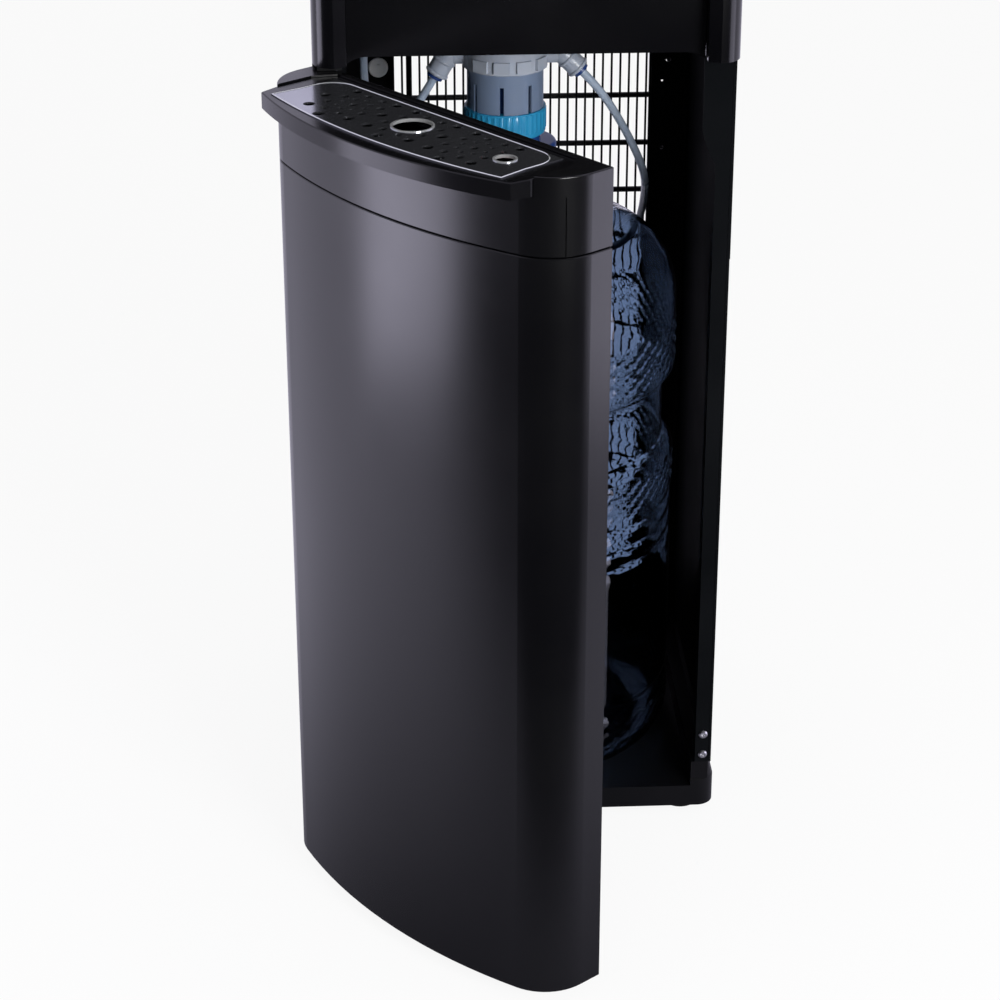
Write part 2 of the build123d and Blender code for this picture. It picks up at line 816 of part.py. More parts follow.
with BuildPart() as filter_head:
    with BuildSketch(Plane.XY.offset(head_foot_z)):
        with Locations(filter_axis):
            Circle(collar_r)
    extrude(amount=shelf_z - head_foot_z)
    # bayonet lugs round the collar
    with BuildSketch(Plane.XY.offset(head_foot_z + lug_proud)):
        with Locations(filter_axis):
            for lug in range(collar_lug_count):
                direction = lug_start_angle + lug * 360 / collar_lug_count
                from_elbows = min(direction % 180, 180 - direction % 180)
                if from_elbows > lug_keepout_angle:
                    with PolarLocations(collar_r, 1, start_angle=direction):
                        Rectangle(2 * lug_proud, lug_width)
    extrude(amount=lug_height)
    # socket for the canister's neck
    with BuildSketch(Plane.XY.offset(head_foot_z)):
        with Locations(filter_axis):
            Circle(neck_r + head_neck_clear)
    extrude(amount=neck_height + head_neck_clear, mode=Mode.SUBTRACT)
save(filter_head.part, "filter_head")

with BuildPart() as filter_canister:
    with BuildSketch(Plane.XY.offset(canister_bottom_z)):
        with Locations(filter_axis):
            Circle(canister_r)
    extrude(amount=canister_height)
    with BuildSketch(Plane.XY.offset(canister_top_z)):
        with Locations(filter_axis):
            Circle(neck_r)
    extrude(amount=neck_height)
    with BuildSketch(Plane.XY.offset(canister_bottom_z)):
        with Locations(filter_axis):
            Circle(canister_r - canister_wall)
    extrude(amount=canister_height - canister_wall, mode=Mode.SUBTRACT)
    # upright slots round the lower half
    with BuildSketch(Plane.XY.offset(canister_bottom_z)):
        with Locations(filter_axis):
            with PolarLocations(canister_r, filter_slot_count, start_angle=slot_start_angle):
                Rectangle(2 * canister_wall + slot_half, 2 * slot_half)
    extrude(amount=slot_height, mode=Mode.SUBTRACT)
save(filter_canister.part, "filter_canister")

with BuildPart() as filter_ring:
    with BuildSketch(Plane.XY.offset(ring_bottom_z)):
        with Locations(filter_axis):
            Circle(filter_ring_r)
            Circle(filter_core_r + fit_gap, mode=Mode.SUBTRACT)
    extrude(amount=ring_height)
    fillet(filter_ring.edges().group_by(Axis.Z)[0].sort_by(SortBy.LENGTH)[-1], radius=canister_wall)
save(filter_ring.part, "filter_ring")

with BuildPart() as filter_cap:
    with BuildSketch(Plane.XY.offset(bottom_cap_z)):
        with Locations(filter_axis):
            Circle(bottom_cap_r)
    extrude(amount=bottom_cap_height)
    fillet(filter_cap.edges().group_by(Axis.Z)[0], radius=2 * canister_wall)
    with BuildSketch(Plane.XY.offset(filter_core_bottom_z - fit_gap)):
        with Locations(filter_axis):
            Circle(filter_core_r + fit_gap)
    extrude(amount=ring_bottom_z - filter_core_bottom_z + fit_gap, mode=Mode.SUBTRACT)
save(filter_cap.part, "filter_bottom_cap")

with BuildPart() as filter_core:
    with BuildSketch(Plane.XY.offset(filter_core_bottom_z)):
        with Locations(filter_axis):
            Circle(filter_core_r)
    extrude(amount=canister_top_z - 2 * canister_wall - filter_core_bottom_z)
save(filter_core.part, "filter_core")

# ---------------------------------------------------------------- push-in elbows and hoses
right_drop = radians(45)
left_drop = radians(60)
elbow_length = 12.0
elbow_nose = 18.0


def elbow(side, drop):
    """Push-in elbow out of the filter head, its nose turned down; side is 1 on the right."""
    seat_x = filter_x + side * (collar_r - canister_wall)
    knee_x = filter_x + side * (collar_r + elbow_length)
    nose_dir = (side * cos(drop), 0, -sin(drop))
    with BuildPart() as fitting:
        with BuildSketch(Plane(origin=(seat_x, filter_y, elbow_z), z_dir=(side, 0, 0))):
            Circle(elbow_r)
        extrude(amount=abs(knee_x - seat_x))
        with Locations((knee_x, filter_y, elbow_z)):
            Sphere(elbow_nose_r)
        with BuildSketch(Plane(origin=(knee_x, filter_y, elbow_z), z_dir=nose_dir)):
            Circle(elbow_nose_r)
        extrude(amount=elbow_nose)
        with BuildSketch(Plane.XY.offset(head_foot_z - lug_height)):
            with Locations(filter_axis):
                Circle(collar_r)
        extrude(amount=shelf_z - head_foot_z, mode=Mode.SUBTRACT)
    return fitting.part, (knee_x, filter_y, elbow_z), nose_dir


right_elbow, right_knee, right_dir = elbow(1, right_drop)
left_elbow, left_knee, left_dir = elbow(-1, left_drop)
save(right_elbow, "right_elbow")
save(left_elbow, "left_elbow")


def along(point, direction, distance):
    """Point a distance away along a direction."""
    return tuple(p + distance * d for p, d in zip(point, direction))


with BuildPart() as collets:
    for knee, nose_dir in ((right_knee, right_dir), (left_knee, left_dir)):
        with BuildSketch(Plane(origin=along(knee, nose_dir, elbow_nose), z_dir=nose_dir)):
            Circle(collet_r)
        extrude(amount=collet_length)
save(collets.part, "collets")

right_start = along(right_knee, right_dir, elbow_nose + collet_length)
left_start = along(left_knee, left_dir, elbow_nose + collet_length)
first_run = 21.0
supply_route = [
    right_start,
    along(right_start, right_dir, first_run),
    (86, 128, 566),
    (102, 150, 530),
    (109, 177, 506),
    (112, 207, 484),
    (113, 237, 456),
    (109, 262, 426),
    (92, 276, 408),
    (66, 283, 408),
    (40, 285, 430),
    (20, 281, 470),
    (6, 266, 512),
    (0, 243, 541),
    (0, spigot_end_y + hose_lead, neck_top_z + 2 * cap_wall),
    (0, spigot_end_y, neck_top_z + 2 * cap_wall),
]
outlet_route = [
    left_start,
    along(left_start, left_dir, first_run),
    (-93, 124, 570),
    (-108, 148, 560),
    (-118, 178, 570),
    (-121, 204, 598),
    (bulkhead_x, bulkhead_y, shelf_z - bulkhead_drop - hose_rise),
    (bulkhead_x, bulkhead_y, shelf_z - bulkhead_drop),
]


def hose(route, name):
    """Tube along straight runs joined by arcs as large as the runs allow; prints its bends and length."""
    points = [Vector(*p) for p in route]
    radii = []
    for before, here, after in zip(points, points[1:], points[2:]):
        incoming = here - before
        outgoing = after - here
        turn = radians(incoming.get_angle(outgoing))
        radii.append(bend_share * min(incoming.length, outgoing.length) / tan(turn / 2))
    with BuildPart() as tube:
        with BuildLine() as path:
            FilletPolyline(*points, radius=radii)
        with BuildSketch(Plane(origin=path.wire() @ 0, z_dir=path.wire() % 0)):
            Circle(hose_r)
        sweep()
    swept = pi * hose_r**2 * path.wire().length
    print(name, "radii", [round(r) for r in radii])
    print(name, "length", round(path.wire().length, 1), "volume ratio", round(tube.part.volume / swept, 4))
    return tube.part


save(hose(supply_route, "supply_hose"), "supply_hose")
save(hose(outlet_route, "outlet_hose"), "outlet_hose")

# ================================================================ door
shell_top_z = band_bottom_z - band_gap
core_bottom_z = 26.0
core_drop = 6.0
core_top_z = seat_z - core_drop
cap_floor = 3.0
corner_u = cabinet_width - door_corner_r
liner_bottom_z = 32.0
liner_drop = 16.0
liner_top_z = seat_z - liner_drop
seat_floor = 4.0
slot_turn = 28.0
door_top_round = 1.2

with BuildPart() as door_shell:
    extrude(door_outline(door_bottom_z, 0), amount=shell_top_z - door_bottom_z)
    chamfer(door_shell.faces().sort_by(Axis.Z)[-1].edges(), length=door_edge)
    chamfer(door_shell.faces().sort_by(Axis.Z)[0].edges(), length=door_edge)
    extrude(
        door_outline(door_bottom_z, door_wall, -door_wall),
        amount=shell_top_z - door_bottom_z,
        mode=Mode.SUBTRACT,
    )
save(door_shell.part, "door_shell")

with BuildPart() as door_band:
    extrude(door_outline(band_bottom_z, 0), amount=band_height)
    chamfer(door_band.faces().sort_by(Axis.Z)[0].edges(), length=door_edge)
    extrude(
        door_outline(band_bottom_z, door_wall, -door_wall), amount=band_height, mode=Mode.SUBTRACT
    )
    # upright groove down the free corner
    with BuildSketch(at_door(band_bottom_z)):
        groove_u = corner_u + door_corner_r * cos(radians(slot_turn))
        groove_v = door_straight + door_corner_r * sin(radians(slot_turn))
        with Locations(on_door(groove_u, groove_v)):
            Rectangle(2 * slot_depth, slot_width, rotation=-slot_turn)
    extrude(amount=band_height, mode=Mode.SUBTRACT)
save(door_band.part, "door_band")

with BuildPart() as door_bottom:
    extrude(door_outline(door_bottom_z, door_wall + fit_gap), amount=cap_floor)
    # boss for the lower hinge pin
    with BuildSketch(at_door(door_bottom_z)):
        Circle(bush_r)
    extrude(amount=bush_height)
    with BuildSketch(at_door(door_bottom_z)):
        Circle(pin_r + pin_clearance)
    extrude(amount=pin_reach, mode=Mode.SUBTRACT)
save(door_bottom.part, "door_bottom_cap")

with BuildPart() as door_top:
    # floor that carries the drip tray
    extrude(door_outline(seat_z - seat_floor, door_wall + fit_gap), amount=seat_floor)
    # raised back ledge and end blocks
    extrude(door_outline(seat_z, 0), amount=door_top_z - seat_z)
    fillet(door_top.faces().sort_by(Axis.Z)[-1].edges(), radius=door_top_round)
    extrude(tray_outline(seat_z, tray_clearance), amount=door_top_z - seat_z, mode=Mode.SUBTRACT)
    # well for the tray's basin
    with BuildSketch(at_door(seat_z - seat_floor)):
        with Locations(on_door(middle_u, (basin_front_v + basin_back_v) / 2)):
            Rectangle(
                2 * (basin_half_length + basin_wall + tray_clearance),
                basin_front_v - basin_back_v + 2 * (basin_wall + tray_clearance),
            )
    extrude(amount=seat_floor, mode=Mode.SUBTRACT)
    # boss and bore for the upper hinge pin
    with BuildSketch(at_door(seat_z)):
        Circle(bush_r)
    extrude(amount=door_top_z - seat_z)
    with BuildSketch(at_door(door_top_z - pin_reach)):
        Circle(pin_r + pin_clearance)
    extrude(amount=pin_reach, mode=Mode.SUBTRACT)
save(door_top.part, "door_top")

with BuildPart() as door_liner:
    # flat panel inside the shell
    with BuildSketch(at_door(core_bottom_z)):
        with Locations(on_door(middle_u, liner_wall / 2)):
            Rectangle(cabinet_width - 2 * (door_wall + fit_gap), liner_wall)
    extrude(amount=core_top_z - core_bottom_z)
    # raised field that stands into the bay, hollow from the door's side
    with BuildSketch(at_door(liner_bottom_z)):
        with Locations(on_door(middle_u, -liner_depth / 2)):
            Rectangle(cabinet_width - 2 * liner_edge, liner_depth)
    extrude(amount=liner_top_z - liner_bottom_z)
    with BuildSketch(at_door(liner_bottom_z + liner_wall)):
        with Locations(on_door(middle_u, (liner_wall - liner_depth + liner_wall) / 2)):
            Rectangle(cabinet_width - 2 * (liner_edge + liner_wall), liner_depth)
    extrude(amount=liner_top_z - liner_bottom_z - 2 * liner_wall, mode=Mode.SUBTRACT)
save(door_liner.part, "door_liner")

magnet_length = 60.0
magnet_width = 9.0
magnet_thick = 3.0
magnet_z = 330.0
with BuildPart() as door_magnet:
    with BuildSketch(at_door(magnet_z)):
        with Locations(on_door(cabinet_width - liner_edge + magnet_width / 2 + fit_gap, -magnet_thick / 2)):
            Rectangle(magnet_width, magnet_thick)
    extrude(amount=magnet_length)
save(door_magnet.part, "door_magnet")

# ---------------------------------------------------------------- hinges
lower_plate_z = door_bottom_z - fit_gap - hinge_plate
upper_plate_z = door_top_z + fit_gap
hinge_nose_r = 9.0
hinge_reach = hinge_nose_r

with BuildPart() as lower_hinge:
    with BuildSketch(Plane.XY.offset(lower_plate_z)):
        with Locations((hinge_x, (base_front_y + hinge_y - hinge_reach) / 2)):
            Rectangle(2 * hinge_nose_r, base_front_y - hinge_y + hinge_reach)
    extrude(amount=hinge_plate)
    with BuildSketch(Plane.XY.offset(lower_plate_z + hinge_plate)):
        with Locations((hinge_x, hinge_y)):
            Circle(pin_r)
    extrude(amount=pin_reach - fit_gap)
save(lower_hinge.part, "lower_hinge")

with BuildPart() as upper_hinge:
    with BuildSketch(Plane.XY.offset(upper_plate_z)):
        with Locations((hinge_x, (housing_back_y + hinge_y - hinge_reach) / 2)):
            Rectangle(2 * hinge_nose_r, housing_back_y - hinge_y + hinge_reach)
    extrude(amount=pillar_bottom_z - upper_plate_z)
    with BuildSketch(Plane.XY.offset(upper_plate_z)):
        with Locations((hinge_x, hinge_y)):
            Circle(pin_r)
    extrude(amount=-(pin_reach - fit_gap))
save(upper_hinge.part, "upper_hinge")

# ================================================================ drip tray
recess_z = tray_top_z - grille_thick + grille_proud
well_inset = 4.0
well_depth = 6.5
well_z = tray_top_z - well_depth
rim_z = seat_z + fit_gap
rim_round = 1.5
float_u = middle_u + float_hole_offset
guide_r = 7.2
guide_wall = 1.2
guide_height = 12.0
float_r = 6.2
float_sink = 3.5
float_top_z = tray_top_z - float_sink
ring_fit = 0.05
cage_slot = 3.0

with BuildPart() as drip_tray:
    extrude(tray_outline(rim_z, 0), amount=tray_top_z - rim_z)
    front_rim = drip_tray.faces().sort_by(Axis.Z)[-1].edges()
    chamfer(front_rim, length=rim_round / 2)
    # mouth of the basin
    with BuildSketch(at_door(rim_z)):
        with Locations(on_door(middle_u, (basin_front_v + basin_back_v) / 2)):
            RectangleRounded(2 * basin_half_length, basin_front_v - basin_back_v, basin_corner_r)
    extrude(amount=tray_top_z - rim_z, mode=Mode.SUBTRACT)
    # seat of the grille, and the shallow well under it
    extrude(grille_outline(recess_z, -fit_gap), amount=grille_thick, mode=Mode.SUBTRACT)
    extrude(grille_outline(well_z, well_inset), amount=grille_thick + recess_z - well_z, mode=Mode.SUBTRACT)
save(drip_tray.part, "drip_tray")

with BuildPart() as tray_basin:
    with BuildSketch(at_door(basin_bottom_z)):
        with Locations(on_door(middle_u, (basin_front_v + basin_back_v) / 2)):
            RectangleRounded(
                2 * (basin_half_length + basin_wall),
                basin_front_v - basin_back_v + 2 * basin_wall,
                basin_corner_r + basin_wall,
            )
    extrude(amount=rim_z - basin_bottom_z)
    with BuildSketch(at_door(basin_bottom_z + basin_wall)):
        with Locations(on_door(middle_u, (basin_front_v + basin_back_v) / 2)):
            RectangleRounded(2 * basin_half_length, basin_front_v - basin_back_v, basin_corner_r)
    extrude(amount=rim_z - basin_bottom_z, mode=Mode.SUBTRACT)
    # cage of the float
    with BuildSketch(at_door(basin_bottom_z + basin_wall)):
        with Locations(on_door(float_u, rosette_v)):
            Circle(guide_r + guide_wall)
            Circle(guide_r, mode=Mode.SUBTRACT)
            Rectangle(3 * guide_r, cage_slot, mode=Mode.SUBTRACT)
    extrude(amount=guide_height)
save(tray_basin.part, "tray_basin")

with BuildPart() as tray_float:
    with BuildSketch(at_door(basin_bottom_z + basin_wall + fit_gap)):
        with Locations(on_door(float_u, rosette_v)):
            Circle(float_r)
    extrude(amount=float_top_z - basin_bottom_z - basin_wall - fit_gap)
    chamfer(tray_float.edges().group_by(Axis.Z)[-1], length=guide_wall)
save(tray_float.part, "tray_float")

# holes of the grille: three rosettes of rings, the middle one round the drain hole
# ring by ring: its radius, its holes' radius and count, and the first one's direction in degrees
hole_ring_radii = (12.0, 21.5, 31.5)
hole_radii = (2.1, 3.2, 4.3)
hole_counts = (8, 8, 8)
hole_start_angles = (0.0, 22.5, 0.0)
centre_hole_r = 3.2
hole_margin = 2.2


def rosette_holes():
    """Centre and radius of each grille hole that the plate has room for."""
    holes = []
    for cell in (-1, 0, 1):
        cell_u = middle_u + cell * rosette_pitch
        if cell:
            holes.append((cell_u, rosette_v, centre_hole_r))
        for ring_r, hole_r, count, start in zip(hole_ring_radii, hole_radii, hole_counts, hole_start_angles):
            if cell == 0 and ring_r - hole_r < drain_hole_r + ring_wall + hole_margin:
                continue
            for step in range(count):
                turn = radians(start + step * 360 / count)
                u = cell_u + ring_r * cos(turn)
                v = rosette_v + ring_r * sin(turn)
                holes.append((u, v, hole_r))
    kept = []
    for u, v, r in holes:
        bow = (grille_bow_v - grille_front_v) * (1 - ((u - middle_u) / grille_half_front) ** 2)
        inside = grille_back_v + hole_margin < v - r and v + r < grille_front_v + bow - hole_margin
        inside = inside and abs(u - middle_u) < grille_half_side - r - hole_margin
        clear = all(hypot(u - a, v - b) > r + c + hole_margin / 2 for a, b, c in kept)
        apart = hypot(u - float_u, v - rosette_v) > r + float_hole_r + ring_wall + hole_margin
        if inside and clear and apart:
            kept.append((u, v, r))
    return kept


with BuildPart() as tray_grille:
    extrude(grille_outline(recess_z, 0), amount=grille_thick)
    with BuildSketch(at_door(recess_z)):
        for u, v, r in rosette_holes():
            with Locations(on_door(u, v)):
                Circle(r)
        with Locations(on_door(middle_u, rosette_v)):
            Circle(drain_hole_r + ring_wall)
        with Locations(on_door(float_u, rosette_v)):
            Circle(float_hole_r + ring_wall)
    extrude(amount=grille_thick, mode=Mode.SUBTRACT)
save(tray_grille.part, "tray_grille")

with BuildPart() as grille_rings:
    for ring_u, ring_r in ((middle_u, drain_hole_r), (float_u, float_hole_r)):
        with BuildSketch(at_door(recess_z)):
            with Locations(on_door(ring_u, rosette_v)):
                Circle(ring_r + ring_wall - ring_fit)
                Circle(ring_r, mode=Mode.SUBTRACT)
        extrude(amount=grille_thick + ring_proud)
save(grille_rings.part, "grille_rings")

# ================================================================ dispensing head
bow_centre_y = head_bulge_y + head_front_r
corner_x = half_width - head_corner_r
corner_y = bow_centre_y - ((head_front_r - head_corner_r) ** 2 - corner_x**2) ** 0.5
corner_turn = atan2(corner_x, bow_centre_y - corner_y)


def head_outline(z, inset, back_y):
    """Plan of the head: straight sides, rounded corners and a bowed front, drawn in by inset."""
    radius = head_corner_r - inset
    side_x = half_width - inset
    bow_r = head_front_r - inset
    bow_x = bow_r * sin(corner_turn)
    bow_y = bow_centre_y - bow_r * cos(corner_turn)
    mid_turn = (pi / 2 + corner_turn) / 2
    mid_x = corner_x + radius * sin(mid_turn)
    mid_y = corner_y - radius * cos(mid_turn)
    with BuildSketch(Plane.XY.offset(z)) as outline:
        with BuildLine():
            Line((-side_x, back_y), (side_x, back_y))
            Line((side_x, back_y), (side_x, corner_y))
            ThreePointArc((side_x, corner_y), (mid_x, mid_y), (bow_x, bow_y))
            ThreePointArc((bow_x, bow_y), (0, bow_centre_y - bow_r), (-bow_x, bow_y))
            ThreePointArc((-bow_x, bow_y), (-mid_x, mid_y), (-side_x, corner_y))
            Line((-side_x, corner_y), (-side_x, back_y))
        make_face()
    return outline.sketch


def head_front(x, z, outwards):
    """Plane square to the bowed front at a width x, moved outwards from the housing's face."""
    turn = asin(x / head_front_r)
    reach = head_front_r + outwards
    origin = (reach * sin(turn), bow_centre_y - reach * cos(turn), z)
    return Plane(origin=origin, x_dir=(cos(turn), sin(turn), 0), z_dir=(sin(turn), -cos(turn), 0))


button_places = (-button_pitch, 0, button_pitch)
button_proud = button_travel + button_left_proud

with BuildPart() as front_housing:
    # pillars either side of the cup space
    with BuildSketch(Plane.XY.offset(pillar_bottom_z)):
        with BuildLine():
            Line((pillar_inner_x, housing_back_y), (half_width, housing_back_y))
            Line((half_width, housing_back_y), (half_width, pillar_side_y))
            ThreePointArc(
                (half_width, pillar_side_y), (pillar_bow_x, pillar_bow_y), (pillar_crease_x, pillar_crease_y)
            )
            Line((pillar_crease_x, pillar_crease_y), (pillar_inner_x, pillar_inner_y))
            Line((pillar_inner_x, pillar_inner_y), (pillar_inner_x, housing_back_y))
        make_face()
    extrude(amount=head_bottom_z - pillar_bottom_z)
    with BuildSketch(Plane.XY.offset(pillar_bottom_z + pillar_floor)):
        with Locations(
            (
                (pillar_inner_x + pillar_wall + pillar_hollow_x) / 2,
                (pillar_hollow_y + housing_back_y) / 2,
            )
        ):
            Rectangle(pillar_hollow_x - pillar_inner_x - pillar_wall, housing_back_y - pillar_hollow_y)
    extrude(amount=head_bottom_z - pillar_bottom_z, mode=Mode.SUBTRACT)
    mirror(about=Plane.YZ)
    # hollow head, open at the back and the top
    extrude(head_outline(head_bottom_z, 0, housing_back_y), amount=head_height)
    extrude(
        head_outline(head_bottom_z + head_wall, head_wall, housing_back_y + head_wall),
        amount=head_height,
        mode=Mode.SUBTRACT,
    )
    with BuildSketch(Plane.XY.offset(head_bottom_z)):
        with Locations((0, spout_y)):
            with GridLocations(spout_pitch, 1, 3, 1):
                Circle(spout_r + fit_gap)
    extrude(amount=head_wall, mode=Mode.SUBTRACT)
    for place in button_places:
        with BuildSketch(head_front(place, button_z, head_wall)):
            Circle(button_r + button_clearance)
        extrude(amount=-4 * head_wall, mode=Mode.SUBTRACT)
save(front_housing.part, "front_housing")

panel_edge_x = pillar_inner_x - fit_gap
curve_start_x = panel_edge_x - alcove_curve
curve_mid_x = curve_start_x + alcove_curve / 2
curve_mid_z = alcove_bottom_z - alcove_drop / 4

with BuildPart() as alcove_panel:
    with BuildSketch(Plane.XZ):
        with BuildLine():
            Line((-panel_edge_x, head_bottom_z - fit_gap), (panel_edge_x, head_bottom_z - fit_gap))
            Line((panel_edge_x, head_bottom_z - fit_gap), (panel_edge_x, alcove_bottom_z - alcove_drop))
            ThreePointArc(
                (panel_edge_x, alcove_bottom_z - alcove_drop),
                (curve_mid_x, curve_mid_z),
                (curve_start_x, alcove_bottom_z),
            )
            Line((curve_start_x, alcove_bottom_z), (-curve_start_x, alcove_bottom_z))
            ThreePointArc(
                (-curve_start_x, alcove_bottom_z),
                (-curve_mid_x, curve_mid_z),
                (-panel_edge_x, alcove_bottom_z - alcove_drop),
            )
            Line((-panel_edge_x, alcove_bottom_z - alcove_drop), (-panel_edge_x, head_bottom_z - fit_gap))
        make_face()
    extrude(amount=-alcove_thick)
save(alcove_panel.part, "alcove_panel")

fascia_out = fit_gap + fascia_proud

with BuildPart() as fascia:
    extrude(head_outline(fascia_bottom_z, -fascia_out, housing_back_y), amount=fascia_height)
    extrude(head_outline(fascia_bottom_z, -fit_gap, housing_back_y), amount=fascia_height, mode=Mode.SUBTRACT)
    with BuildSketch(Plane.XZ.offset(-head_bulge_y - head_corner_r)):
        with Locations((0, fascia_bottom_z + fascia_height / 2)):
            RectangleRounded(2 * fascia_half_width, fascia_height, fascia_corner_r)
    extrude(amount=2 * head_corner_r, mode=Mode.INTERSECT)
    for place in button_places:
        with BuildSketch(head_front(place, button_z, 2 * fascia_out)):
            Circle(button_r + button_clearance)
        extrude(amount=-3 * fascia_out, mode=Mode.SUBTRACT)
        with BuildSketch(head_front(place, lens_z, 2 * fascia_out)):
            Circle(lens_r + lens_clearance)
        extrude(amount=-3 * fascia_out, mode=Mode.SUBTRACT)
save(fascia.part, "fascia")


def button(place):
    """Push button with its stem and stop flange, square to the bowed front."""
    with BuildPart() as key:
        with BuildSketch(head_front(place, button_z, fascia_out + button_proud)):
            Circle(button_r)
        extrude(amount=-(fascia_out + button_proud + head_wall + fit_gap))
        rim = key.edges().filter_by(GeomType.CIRCLE).sort_by(Axis.Y)[0]
        fillet(rim, radius=button_edge)
        with BuildSketch(head_front(place, button_z, -head_wall - button_clearance)):
            Circle(button_flange_r)
        extrude(amount=-button_flange)
        with BuildSketch(head_front(place, button_z, -head_wall)):
            Circle(button_stem_r)
        extrude(amount=-(button_flange + button_stem))
    return key.part


save(button(-button_pitch), "hot_button")
save(button(0), "room_button")
save(button(button_pitch), "cold_button")

with BuildPart() as lenses:
    for place in button_places:
        with BuildSketch(head_front(place, lens_z, fascia_out + lens_proud)):
            Circle(lens_r)
        extrude(amount=-(fascia_proud + lens_proud))
save(lenses.part, "indicator_lenses")

with BuildPart() as spouts:
    with BuildSketch(Plane.XY.offset(spout_bottom_z)):
        with Locations((0, spout_y)):
            with GridLocations(spout_pitch, 1, 3, 1):
                Circle(spout_r)
    extrude(amount=head_bottom_z + spout_inset - spout_bottom_z)
    chamfer(spouts.edges().group_by(Axis.Z)[0], length=spout_lip)
    with BuildSketch(Plane.XY.offset(spout_bottom_z)):
        with Locations((0, spout_y)):
            with GridLocations(spout_pitch, 1, 3, 1):
                Circle(spout_bore_r)
    extrude(amount=head_bottom_z + spout_inset - spout_bottom_z, mode=Mode.SUBTRACT)
save(spouts.part, "spouts")

with BuildPart() as top_cover:
    extrude(head_outline(head_top_z, -top_overhang, top_back_y), amount=top_height)
    fillet(top_cover.faces().sort_by(Axis.Z)[-1].edges(), radius=top_round)
    extrude(
        head_outline(head_top_z, top_lip, top_back_y - top_lip - top_overhang),
        amount=top_height - top_skin,
        mode=Mode.SUBTRACT,
    )
save(top_cover.part, "top_cover")

# ================================================================ inside the upper half
tank_shelf_drop = 30.0
tank_shelf_z = head_bottom_z - tank_shelf_drop
tank_shelf_thick = 2.0
tank_y = 180.0
tank_wall = 1.0
tank_gap = 10.0
cold_side_gap = 3.5
hot_side_gap = 13.5
hot_tank_r = 52.0
hot_x = panel_inside_x - hot_side_gap - hot_tank_r
insulation_r = panel_inside_x - hot_tank_r - (cold_side_gap + tank_gap + hot_side_gap) / 2
insulation_headroom = 18.0
insulation_top_z = head_top_z - insulation_headroom
foam_thick = 24.5
cold_x = cold_side_gap + insulation_r - panel_inside_x
cold_tank_r = insulation_r - foam_thick
cold_bore_gap = 0.5
tank_sink = 12.0
cold_top_z = insulation_top_z - tank_sink
hot_top_z = cold_top_z
hot_leg_height = 16.0
hot_bottom_z = tank_shelf_z + hot_leg_height
hot_leg_r = 4.0
hot_leg_ring_r = 40.0
hot_round = 10.0
compressor_side = 80.5
compressor_x = panel_inside_x - compressor_side
compressor_y = 185.0
compressor_r = 60.0
compressor_lift = 18.0
compressor_hub_z = shelf_z + compressor_lift
compressor_headroom = 28.0
compressor_top_z = tank_shelf_z - compressor_headroom
compressor_height = compressor_top_z - compressor_hub_z
compressor_soft_r = 26.0
compressor_round = min(compressor_soft_r, compressor_height / 3)
compressor_plate = 4.0
compressor_plate_x = 140.0
compressor_plate_y = 100.0
compressor_seam = 1.6
compressor_seam_height = 5.0
compressor_seam_z = compressor_hub_z + (compressor_height - compressor_seam_height) / 2
pipe_bend_r = 7.0
pump_x = -70.0
pump_y = 216.0
pump_body = 46.0
pump_height = 44.0
pump_motor_r = 17.0
pump_motor_length = 52.0

with BuildPart() as tank_shelf:
    with BuildSketch(Plane.XY.offset(tank_shelf_z)):
        with Locations((0, (shelf_front_y + shelf_rear_y) / 2)):
            Rectangle(2 * (panel_inside_x - fit_gap), shelf_rear_y - shelf_front_y)
    extrude(amount=tank_shelf_thick)
save(tank_shelf.part, "tank_shelf")

insulation_bottom_z = tank_shelf_z + tank_shelf_thick + fit_gap
with BuildPart() as cold_insulation:
    with BuildSketch(Plane.XY.offset(insulation_bottom_z)):
        with Locations((cold_x, tank_y)):
            Circle(insulation_r)
            Circle(cold_tank_r + cold_bore_gap, mode=Mode.SUBTRACT)
    extrude(amount=insulation_top_z - insulation_bottom_z)
save(cold_insulation.part, "cold_insulation")

with BuildPart() as cold_tank:
    with BuildSketch(Plane.XY.offset(insulation_bottom_z)):
        with Locations((cold_x, tank_y)):
            Circle(cold_tank_r)
    extrude(amount=cold_top_z - insulation_bottom_z)
    with BuildSketch(Plane.XY.offset(insulation_bottom_z + tank_wall)):
        with Locations((cold_x, tank_y)):
            Circle(cold_tank_r - tank_wall)
    extrude(amount=cold_top_z - insulation_bottom_z - 2 * tank_wall, mode=Mode.SUBTRACT)
save(cold_tank.part, "cold_tank")

with BuildPart() as hot_tank:
    with BuildSketch(Plane.XY.offset(hot_bottom_z)):
        with Locations((hot_x, tank_y)):
            Circle(hot_tank_r)
    extrude(amount=hot_top_z - hot_bottom_z)
    fillet(hot_tank.edges().filter_by(GeomType.CIRCLE), radius=hot_round)
    with BuildSketch(Plane.XY.offset(hot_bottom_z + tank_wall)):
        with Locations((hot_x, tank_y)):
            Circle(hot_tank_r - hot_round)
    extrude(amount=hot_top_z - hot_bottom_z - 2 * tank_wall, mode=Mode.SUBTRACT)
    with BuildSketch(Plane.XY.offset(hot_bottom_z + hot_round)):
        with Locations((hot_x, tank_y)):
            Circle(hot_tank_r - tank_wall)
    extrude(amount=hot_top_z - hot_bottom_z - 2 * hot_round, mode=Mode.SUBTRACT)
    with BuildSketch(Plane.XY.offset(insulation_bottom_z)):
        with Locations((hot_x, tank_y)):
            with PolarLocations(hot_leg_ring_r, 3, start_angle=90):
                Circle(hot_leg_r)
    extrude(amount=hot_bottom_z - insulation_bottom_z + tank_wall / 2)
save(hot_tank.part, "hot_tank")

